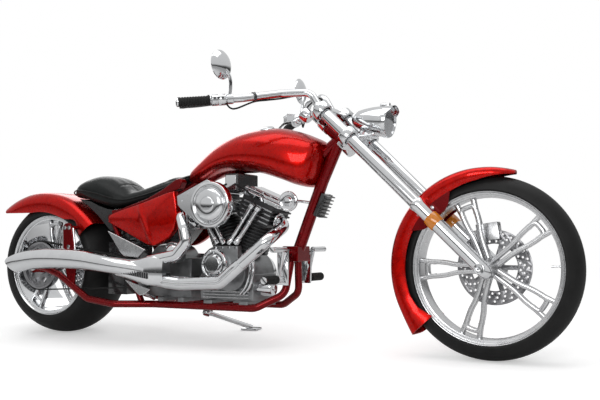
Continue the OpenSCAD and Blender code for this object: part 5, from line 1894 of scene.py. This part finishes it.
@dataclass
class FrontEnd:
    """The fork, the bars and what they carry."""

    shop: Workshop
    bar_r: float = 16.0
    grip_r: float = 19.0
    bar_corners: tuple = ((34.5, -56, 917), (60, -60, 1021), (-17, -125, 1092),
                          (-110, -265, 1141), (-261, -440, 1259))
    bar_path: list = field(default_factory=list)

    def build(self) -> None:
        """Builds the front end."""
        self.bar_path = [self.shop.layout.on_fork(*p) for p in self.bar_corners]
        self.legs()
        self.bars()
        self.mirrors()
        self.headlamp()
        self.gauge()
        self.fender()
        self.cables()

    def mount(self, draft: Draft, name: str, coat: Coat, slot: str, *nodes: str,
              bevel: float = 0, smooth: float = 35) -> None:
        """Makes a piece of the draft and puts it on the fork."""
        piece = draft.piece(name, self.shop.paint[coat], smooth, bevel)
        self.shop.mount(piece, "fork", slot, *nodes)

    def legs(self) -> None:
        """Fork legs, clamps, marker bands, the axle and the caliper."""
        shop, lay = self.shop, self.shop.layout
        legs, bands, caps = shop.draft(), shop.draft(), []
        for y in (-lay.leg_y, lay.leg_y):
            foot = lay.on_fork(lay.fork_offset, y, 0)
            legs.turned(foot, lay.fork_up, [
                (-42, 0), (-42, 14), (-36, 20), (-20, 27), (-10, 28), (330, 28), (336, 29.5),
                (350, 29.5), (356, 27), (358, 25.5), (929, 25.5), (933, 24), (937, 17), (938, 0)], 48)
            bands.turned(foot, lay.fork_up, [
                (230, 28.05), (230, 30), (233, 31), (252, 32), (271, 31), (274, 30), (274, 28.05)],
                48, ring=True)
            caps.append((lay.on_fork(lay.fork_offset, y, 938), lay.fork_up))
        self.mount(legs, "fork_legs_turned", Coat.CHROME, "chrome", "fork_legs")
        self.mount(bands, "marker_bands_moulded", Coat.AMBER, "amber_lens", "marker_bands")
        shop.mount(shop.repeats.bolt_field("fork_caps", caps, shop.paint[Coat.CHROME], 11, 7),
                   "fork", "chrome")
        shop.rework("triple_clamps", Coat.CHROME, "fork", "chrome", 5)
        shop.rework("steering_stem", Coat.CHROME, "fork", "chrome", 1.5)
        shop.rework("front_axle", Coat.CHROME, "fork", "chrome", 1.5)
        shop.rework("front_caliper", Coat.ALLOY, "fork", "polished_alloy", 4)

    def bars(self) -> None:
        """Handlebars, grips and controls."""
        shop = self.shop
        line = bent_route(self.bar_path, 44)
        tube = shop.draft().tube(line, self.bar_r, 30).mirrored()
        self.mount(tube, "handlebars_bent", Coat.CHROME, "chrome", "handlebars")
        end = self.bar_path[-1]
        run = unit(end - self.bar_path[-2])
        grips = shop.draft()
        outline = [(0, 17), (2, 22), (7, 22), (9, 19)]
        for k in range(10):
            outline += [(14 + k * 11, 19), (15 + k * 11, 17.6), (18 + k * 11, 17.6),
                        (19 + k * 11, 19)]
        outline += [(128, 19), (131, 17), (131, 16)]
        grips.turned(end - run * 128, run, outline, 32)
        self.mount(grips.mirrored(), "grips_moulded", Coat.RUBBER, "rubber", "grips")
        ends = shop.draft().turned(end - run * 1, run, [(0, 17), (2, 19), (7, 18), (9, 12), (9, 0)],
                                   32)
        self.mount(ends.mirrored(), "bar_ends", Coat.CHROME, "chrome")
        self.controls(end, run)

    def controls(self, end: Array, run: Array) -> None:
        """Switch housings, reservoirs and levers.

        Args:
            end: The bar's end.
            run: The way that the bar's end points.
        """
        shop = self.shop
        housing = end - run * 162
        front = unit(np.cross(at(0, 0, 1), run))
        body = shop.draft().turned(housing, run, [(-30, 20), (-28, 24), (0, 24), (2, 23), (4, 24),
                                                  (28, 24), (30, 20)], 36)
        body.block(housing - front * 42 + at(0, 0, 6), run, front, (52, 38, 30))
        body.block(housing - front * 42 + at(0, 0, 23), run, front, (56, 42, 6))
        lever = housing - front * 34
        path = smooth_route([lever + at(0, 0, -6), lever - front * 22 + run * 30 + at(0, 0, -8),
                             lever - front * 24 + run * 90 + at(0, 0, -12),
                             lever - front * 14 + run * 150 + at(0, 0, -14)])
        radii = np.interp(np.linspace(0, 1, len(path)), [0, 0.3, 0.85, 0.93, 1],
                          [8, 6.5, 5, 6.5, 5])
        blade = shop.draft().tube(path, list(radii), 16)
        self.mount(blade.mirrored(), "levers", Coat.ENAMEL, "black_enamel")
        self.mount(body.mirrored(), "bar_controls_made", Coat.CHROME, "chrome", "bar_controls",
                   bevel=1.5)
        buttons = shop.draft()
        for k in (-14, 2, 18):
            buttons.block(housing + front * 23 + run * k + at(0, 0, 4), run, at(0, 0, 1),
                          (10, 9, 6))
        buttons.block(housing - front * 42 + at(0, 0, 27), run, front, (30, 20, 3))
        self.mount(buttons.mirrored(), "switches", Coat.ENAMEL, "black_enamel", bevel=1)

    def mirrors(self) -> None:
        """Round mirrors on bent stems."""
        shop = self.shop
        end = self.bar_path[-1]
        run = unit(end - self.bar_path[-2])
        foot = end - run * 208
        head = foot + at(-16, -34, 136)
        face = unit(at(-1, 0.1, -0.05))
        body = shop.draft().turned(foot, run, [(-14, 19), (-12, 21), (12, 21), (14, 19)], 32)
        body.tube(smooth_route([foot + at(0, 0, 14), foot + at(6, -3, 50), foot + at(6, -10, 90),
                                head + at(8, 0, -10)]), 7, 16)
        body.turned(head, face, [(-19, 0), (-18.6, 10), (-16.5, 25), (-12, 40), (-5, 53), (2, 60),
                                 (6, 60), (7, 57), (5, 56)], 56)
        self.mount(body.mirrored(), "mirrors_made", Coat.CHROME, "chrome", "mirrors", smooth=40)
        glass = shop.draft().turned(head, face, [(4.6, 56.5), (5.6, 56), (5.8, 0)], 56)
        self.mount(glass.mirrored(), "mirror_glass", Coat.MIRROR, "chrome")

    def headlamp(self) -> None:
        """The bullet headlamp with visor, lens and bracket."""
        shop, lay = self.shop, self.shop.layout
        front = lay.on_fork(190, 0, lay.lower_clamp - 59)
        back = front - at(170, 0, -22)
        way = unit(front - back)
        length = float(np.linalg.norm(front - back))
        shell = shop.draft()
        shell.turned(back, way, [
            (0, 0), (3, 12), (12, 26), (30, 37), (55, 46), (90, 55), (120, 60), (148, 62),
            (150, 64.5), (166, 64.5), (171, 62), (171, 57), (160, 55), (120, 46), (90, 30), (80, 0)],
            72)
        shell.rod(back + at(60, 0, -30), lay.on_fork(lay.fork_offset - 6, 0, lay.lower_clamp), 12)
        for y in (-26, 26):
            shell.tube(smooth_route([back + at(92, y * 0.8, -40), back + at(104, y, -70),
                                     lay.on_fork(lay.fork_offset + 12, y, lay.lower_clamp - 4)]),
                       7, 14)
        top = unit(at(0, 0, 1) - (at(0, 0, 1) @ way) * way)
        shell.turned(back + way * 118 + top * 66, way, [
            (0, 0), (2, 6), (14, 10), (40, 12), (42, 11), (42, 0)], 28)
        self.mount(shell, "headlamp_shell", Coat.CHROME, "chrome", "headlamp", smooth=40)
        lens = shop.draft().turned(back, way, [
            (length - 8, 57.5), (length - 5, 57), (length - 2, 40), (length, 20), (length + 0.6, 0)],
            64)
        lens.turned(back, way, [(length - 8.5, 57.5), (length - 8.4, 0)], 64)
        self.mount(lens, "headlamp_lens", Coat.GLASS, "chrome", smooth=60)
        self.visor(back, way, length)

    def visor(self, back: Array, way: Array, length: float) -> None:
        """The small peak above the lens.

        Args:
            back: The lamp's rear end.
            way: The lamp's axis.
            length: The lamp's length.
        """
        shop = self.shop
        up = unit(at(0, 0, 1) - (at(0, 0, 1) @ way) * way)
        side = np.cross(way, up)
        rings = []
        for t in np.linspace(0, 1, 10):
            along = length - 20 + 34 * t
            r = 66.5 + 1.5 * t
            spread = math.radians(74 - 30 * t**2)
            ring = []
            for a in np.linspace(-spread, spread, 21):
                ring.append(back + along * way + r * (math.cos(a) * up + math.sin(a) * side))
            for a in np.linspace(spread, -spread, 21):
                ring.append(back + along * way
                            + (r - 2.0) * (math.cos(a) * up + math.sin(a) * side))
            rings.append(np.array(ring))
        self.mount(shop.draft().rings(rings), "headlamp_visor", Coat.CHROME, "chrome", smooth=50)

    def gauge(self) -> None:
        """The round gauge between the bars."""
        shop, lay = self.shop, self.shop.layout
        base = lay.on_fork(-50, 66, lay.upper_clamp + 104)
        way = unit(at(-0.8, 0, 0.6))
        body = shop.draft().turned(base, way, [(0, 0), (0, 22), (6, 28), (12, 30), (34, 30),
                                               (38, 31), (41, 30), (41, 27), (38, 26)], 48)
        body.rod(base + way * 12, lay.on_fork(40, 58, lay.upper_clamp + 52), 8)
        self.mount(body, "gauge_case", Coat.CHROME, "chrome", "gauge")
        dial = shop.draft().turned(base, way, [(37.5, 26.5), (38.5, 26), (38.6, 0)], 48)
        self.mount(dial, "gauge_dial", Coat.DIAL, "chrome")
        side = side_of(way)
        other = np.cross(way, side)
        marks = shop.draft()
        for k in range(11):
            a = math.radians(-130 + 26 * k)
            out = math.cos(a) * side + math.sin(a) * other
            marks.block(base + way * 39 + out * 21, out, np.cross(way, out), (6, 1.4, 0.8))
        marks.block(base + way * 39.4 + (side + other) * 6, unit(side + other),
                    np.cross(way, unit(side + other)), (20, 1.6, 0.8))
        self.mount(marks, "gauge_marks", Coat.ENAMEL, "black_enamel")

    def fender(self) -> None:
        """The front fender with a pointed tip, and its dark flanges."""
        shop, lay = self.shop, self.shop.layout
        centre = at(lay.wheelbase, 0, lay.front_radius)
        rings = []
        for degrees in np.linspace(74, 222, 90):
            theta = math.radians(degrees)
            depth = float(np.interp(degrees, [74, 82, 95, 118, 200, 210, 222],
                                    [10, 24, 44, 60, 62, 72, 112]))
            half = float(np.interp(degrees, [74, 79, 86, 100, 222], [26, 46, 62, 73, 73]))
            flick = 13 * max(0.0, (degrees - 204) / 18) ** 2
            rings.append(Bodywork.arch_ring(centre, theta, 376 + flick, half, 24, depth, 4))
        sheet = shop.draft().rings(rings)
        piece = sheet.piece("front_fender_sheet", shop.paint[Coat.CANDY], smooth=50, bevel=1)
        shop.mount(piece, "fork", "candy_red", "front_fender")
        flange = shop.draft()
        angles = np.radians(np.linspace(114, 154, 16))
        outline = [(centre[0] + 316 * math.cos(a), centre[2] + 316 * math.sin(a)) for a in angles]
        outline += [(centre[0] + r * math.cos(a), centre[2] + r * math.sin(a))
                    for a, r in zip(angles[::-1][2:-2], [276, 268] + [262] * 8 + [268, 276])]
        flange.side_plate(outline, -73, -69)
        for s in (282, 312):
            flange.rod(lay.on_fork(lay.fork_offset, -72, s), lay.on_fork(lay.fork_offset, -84, s), 9)
        self.mount(flange.mirrored(), "fender_flanges", Coat.MAROON, "frame_red", bevel=1)
        places = [(lay.on_fork(lay.fork_offset - dn, -73.5 * side, s), at(0, -side, 0))
                  for side in (1, -1) for dn, s in ((30, 268), (30, 322), (-24, 300))]
        shop.mount(shop.repeats.bolt_field("flange_bolts", places, shop.paint[Coat.CHROME], 6, 4),
                   "fork", "chrome")

    def cables(self) -> None:
        """Brake hose and clutch cable, clipped all the way to the bars and the clamps."""
        shop, lay = self.shop, self.shop.layout
        hoses, collars = shop.draft(), shop.draft()
        drop = at(0, 0, -self.bar_r - 4)
        c = self.bar_path
        ring = c[3] + (c[2] - c[3]) * 0.3
        way = unit(c[2] - c[3])
        collars.turned(ring - way * 6, way, [(0, 16), (0, 20), (12, 20), (12, 16)], 32, ring=True)
        for side in (1, -1):
            flip = at(1, side, 1)
            start = c[4] - unit(c[4] - c[3]) * 170 + at(24, 4, -16)
            stops = [start, start * 0.7 + c[3] * 0.3 + at(0, 0, -26),
                     start * 0.3 + c[3] * 0.7 + at(0, 0, -34), ring + drop, (c[2] + ring) / 2 + drop,
                     c[2] + drop + at(-6, 4, 0), c[1] + at(-16, 12, -6),
                     (c[0] + c[1]) / 2 + at(-20, 10, 0), lay.on_fork(6, -46, lay.upper_clamp + 22)]
            hoses.tube(smooth_route([p * flip for p in stops], 8), 3.6, 12)
        self.mount(collars.mirrored(), "bar_collars", Coat.ENAMEL, "black_enamel", bevel=1)
        self.mount(hoses, "bar_hoses", Coat.RUBBER, "rubber")


# ---- Studio ----


@dataclass(frozen=True)
class Lamp:
    """A soft rectangular light. Places are in metres."""

    name: str
    place: tuple
    aim: tuple
    size: tuple
    watts: float

    def hang(self) -> None:
        """Puts the light in the scene."""
        data = bpy.data.lights.new(self.name, "AREA")
        data.shape = "RECTANGLE"
        data.size, data.size_y = self.size
        data.energy = self.watts
        light = bpy.data.objects.new(self.name, data)
        light.location = self.place
        way = Vector(self.aim) - Vector(self.place)
        light.rotation_euler = way.to_track_quat("-Z", "Y").to_euler()
        bpy.context.scene.collection.objects.link(light)


@dataclass
class Studio:
    """Camera, lights, floor and surroundings."""

    shop: Workshop
    azimuth: float = 0.498561
    elevation: float = -0.0515971
    distance: float = 3463.59
    target: tuple = (1322.29, 0.0, 619.25)
    lens: float = 49.065
    floor_half: float = 60.0
    lamps: tuple = (
        Lamp("overhead", (0.2, -0.3, 3.4), (0, 0, 0.4), (4.5, 2.2), 50),
        Lamp("right_front", (1.4, -4.2, 2.2), (0, 0, 0.5), (2.8, 1.4), 62),
        Lamp("rear_left", (-2.8, 2.4, 2.2), (0, 0, 0.5), (2.4, 1.6), 22))
    sky: tuple = ((0.0, 0.5), (0.485, 0.4), (0.5, 0.03), (0.535, 0.10), (0.575, 0.70), (1.0, 0.85))

    def build(self) -> None:
        """Sets up the studio."""
        self.camera()
        self.floor()
        for lamp in self.lamps:
            lamp.hang()
        self.surroundings()
        bpy.context.scene.view_settings.view_transform = "Standard"

    def camera(self) -> None:
        """Places the camera, level with the upright machine."""
        sa, ca = math.sin(self.azimuth), math.cos(self.azimuth)
        se, ce = math.sin(self.elevation), math.cos(self.elevation)
        back = at(sa * ce, -ca * ce, se)
        right = at(ca, sa, 0)
        up = np.cross(back, right)
        place = at(*self.target) + self.distance * back
        local = Matrix([[right[i], up[i], back[i], place[i] * MM] for i in range(3)]
                       + [[0, 0, 0, 1]])
        data = bpy.data.cameras.new("studio_camera")
        data.lens = self.lens
        data.sensor_width = 36.0
        data.sensor_fit = "HORIZONTAL"
        camera = bpy.data.objects.new("studio_camera", data)
        camera.matrix_world = self.shop.stance.matrix(1.0) @ local
        bpy.context.scene.collection.objects.link(camera)
        bpy.context.scene.camera = camera

    def floor(self) -> None:
        """A pale floor that keeps the shadow and fades to white far away."""
        mesh = bpy.data.meshes.new("floor")
        s = self.floor_half
        mesh.from_pydata([(-s, -s, 0), (s, -s, 0), (s, s, 0), (-s, s, 0)], [], [(0, 1, 2, 3)])
        floor = bpy.data.objects.new("floor", mesh)
        bpy.context.scene.collection.objects.link(floor)
        material = bpy.data.materials.new("pale_floor")
        material.use_nodes = True
        tree = material.node_tree
        shader = tree.nodes["Principled BSDF"]
        shader.inputs["Base Color"].default_value = (0.86, 0.86, 0.86, 1)
        shader.inputs["Roughness"].default_value = 0.9
        shader.inputs["Specular IOR Level"].default_value = 0.1
        glow = tree.nodes.new("ShaderNodeEmission")
        lift = tree.nodes.new("ShaderNodeEmission")
        lift.inputs["Color"].default_value = (0.40, 0.40, 0.40, 1)
        lifted = tree.nodes.new("ShaderNodeAddShader")
        eye = tree.nodes.new("ShaderNodeMixShader")
        where = tree.nodes.new("ShaderNodeTexCoord")
        length = tree.nodes.new("ShaderNodeVectorMath")
        length.operation = "LENGTH"
        fade = tree.nodes.new("ShaderNodeMapRange")
        fade.interpolation_type = "SMOOTHSTEP"
        fade.inputs["From Min"].default_value = 1.5
        fade.inputs["From Max"].default_value = 3.2
        path = tree.nodes.new("ShaderNodeLightPath")
        both = math_node(tree, "MULTIPLY")
        mix = tree.nodes.new("ShaderNodeMixShader")
        out = tree.nodes["Material Output"]
        wire(tree.links, (where.outputs["Object"], length.inputs[0]),
             (length.outputs["Value"], fade.inputs["Value"]), (fade.outputs[0], both.inputs[0]),
             (path.outputs["Is Camera Ray"], both.inputs[1]), (both.outputs[0], mix.inputs[0]),
             (shader.outputs[0], lifted.inputs[0]), (lift.outputs[0], lifted.inputs[1]),
             (path.outputs["Is Camera Ray"], eye.inputs[0]), (shader.outputs[0], eye.inputs[1]),
             (lifted.outputs[0], eye.inputs[2]), (eye.outputs[0], mix.inputs[1]),
             (glow.outputs[0], mix.inputs[2]), (mix.outputs[0], out.inputs["Surface"]))
        mesh.materials.append(material)

    def surroundings(self) -> None:
        """A world that is white to the eye and graded for reflections."""
        world = bpy.data.worlds.new("studio")
        bpy.context.scene.world = world
        world.use_nodes = True
        tree = world.node_tree
        back = tree.nodes["Background"]
        where = tree.nodes.new("ShaderNodeTexCoord")
        split = tree.nodes.new("ShaderNodeSeparateXYZ")
        ramp = tree.nodes.new("ShaderNodeValToRGB")
        elements = ramp.color_ramp.elements
        for element, (spot, grey) in zip(elements, (self.sky[0], self.sky[-1])):
            element.position = spot
            element.color = (grey, grey, grey, 1)
        for spot, grey in self.sky[1:-1]:
            elements.new(spot).color = (grey, grey, grey, 1)
        half = math_node(tree, "MULTIPLY_ADD", 0.5, 0.5)
        path = tree.nodes.new("ShaderNodeLightPath")
        plain = tree.nodes.new("ShaderNodeMix")
        plain.data_type = "RGBA"
        plain.inputs[6].default_value = (0.46, 0.46, 0.46, 1)
        eye = tree.nodes.new("ShaderNodeMix")
        eye.data_type = "RGBA"
        eye.inputs[7].default_value = (1, 1, 1, 1)
        wire(tree.links, (where.outputs["Generated"], split.inputs[0]),
             (split.outputs["Z"], half.inputs[0]), (half.outputs[0], ramp.inputs[0]),
             (path.outputs["Is Glossy Ray"], plain.inputs[0]), (ramp.outputs[0], plain.inputs[7]),
             (path.outputs["Is Camera Ray"], eye.inputs[0]), (plain.outputs[2], eye.inputs[6]),
             (eye.outputs[2], back.inputs["Color"]))
        back.inputs["Strength"].default_value = 1.0


# ---- The whole machine ----


def wheels(shop: Workshop) -> list:
    """Both wheels.

    Args:
        shop: The workshop.

    Returns:
        The rear and the front wheel.
    """
    lay = shop.layout
    rear = WheelSet(shop, "rear_wheel", "rear", at(0, 0, lay.rear_radius), 330, 140, 190, 246, 126,
                    46, 136, -70, 34, 20, Coat.CHROME, "chrome")
    front = WheelSet(shop, "front_wheel", "front", at(lay.wheelbase, 0, lay.front_radius), 345,
                     62.5, 62, 292, 53.5, 38, 68, -8, 34, 38, Coat.ALLOY, "polished_alloy")
    return [rear, front]


def main() -> None:
    """Builds the machine and the studio."""
    logging.basicConfig(level=logging.INFO, format="%(message)s")
    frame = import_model()
    shop = Workshop(frame)
    Studio(shop).build()
    Chassis(shop).build()
    Engine(shop).build()
    Exhaust(shop).build()
    Bodywork(shop).build()
    for wheel in wheels(shop):
        wheel.build()
    FrontEnd(shop).build()
    shop.rework("rear_disc", Coat.STEEL, "rear_wheel", "disc_steel", 0.4)
    shop.rework("rear_pulley", Coat.STEEL, "rear_wheel", "disc_steel", 0.8)
    shop.rework("front_disc", Coat.STEEL, "front_wheel", "disc_steel", 0.4)


if __name__ == "__main__":
    main()
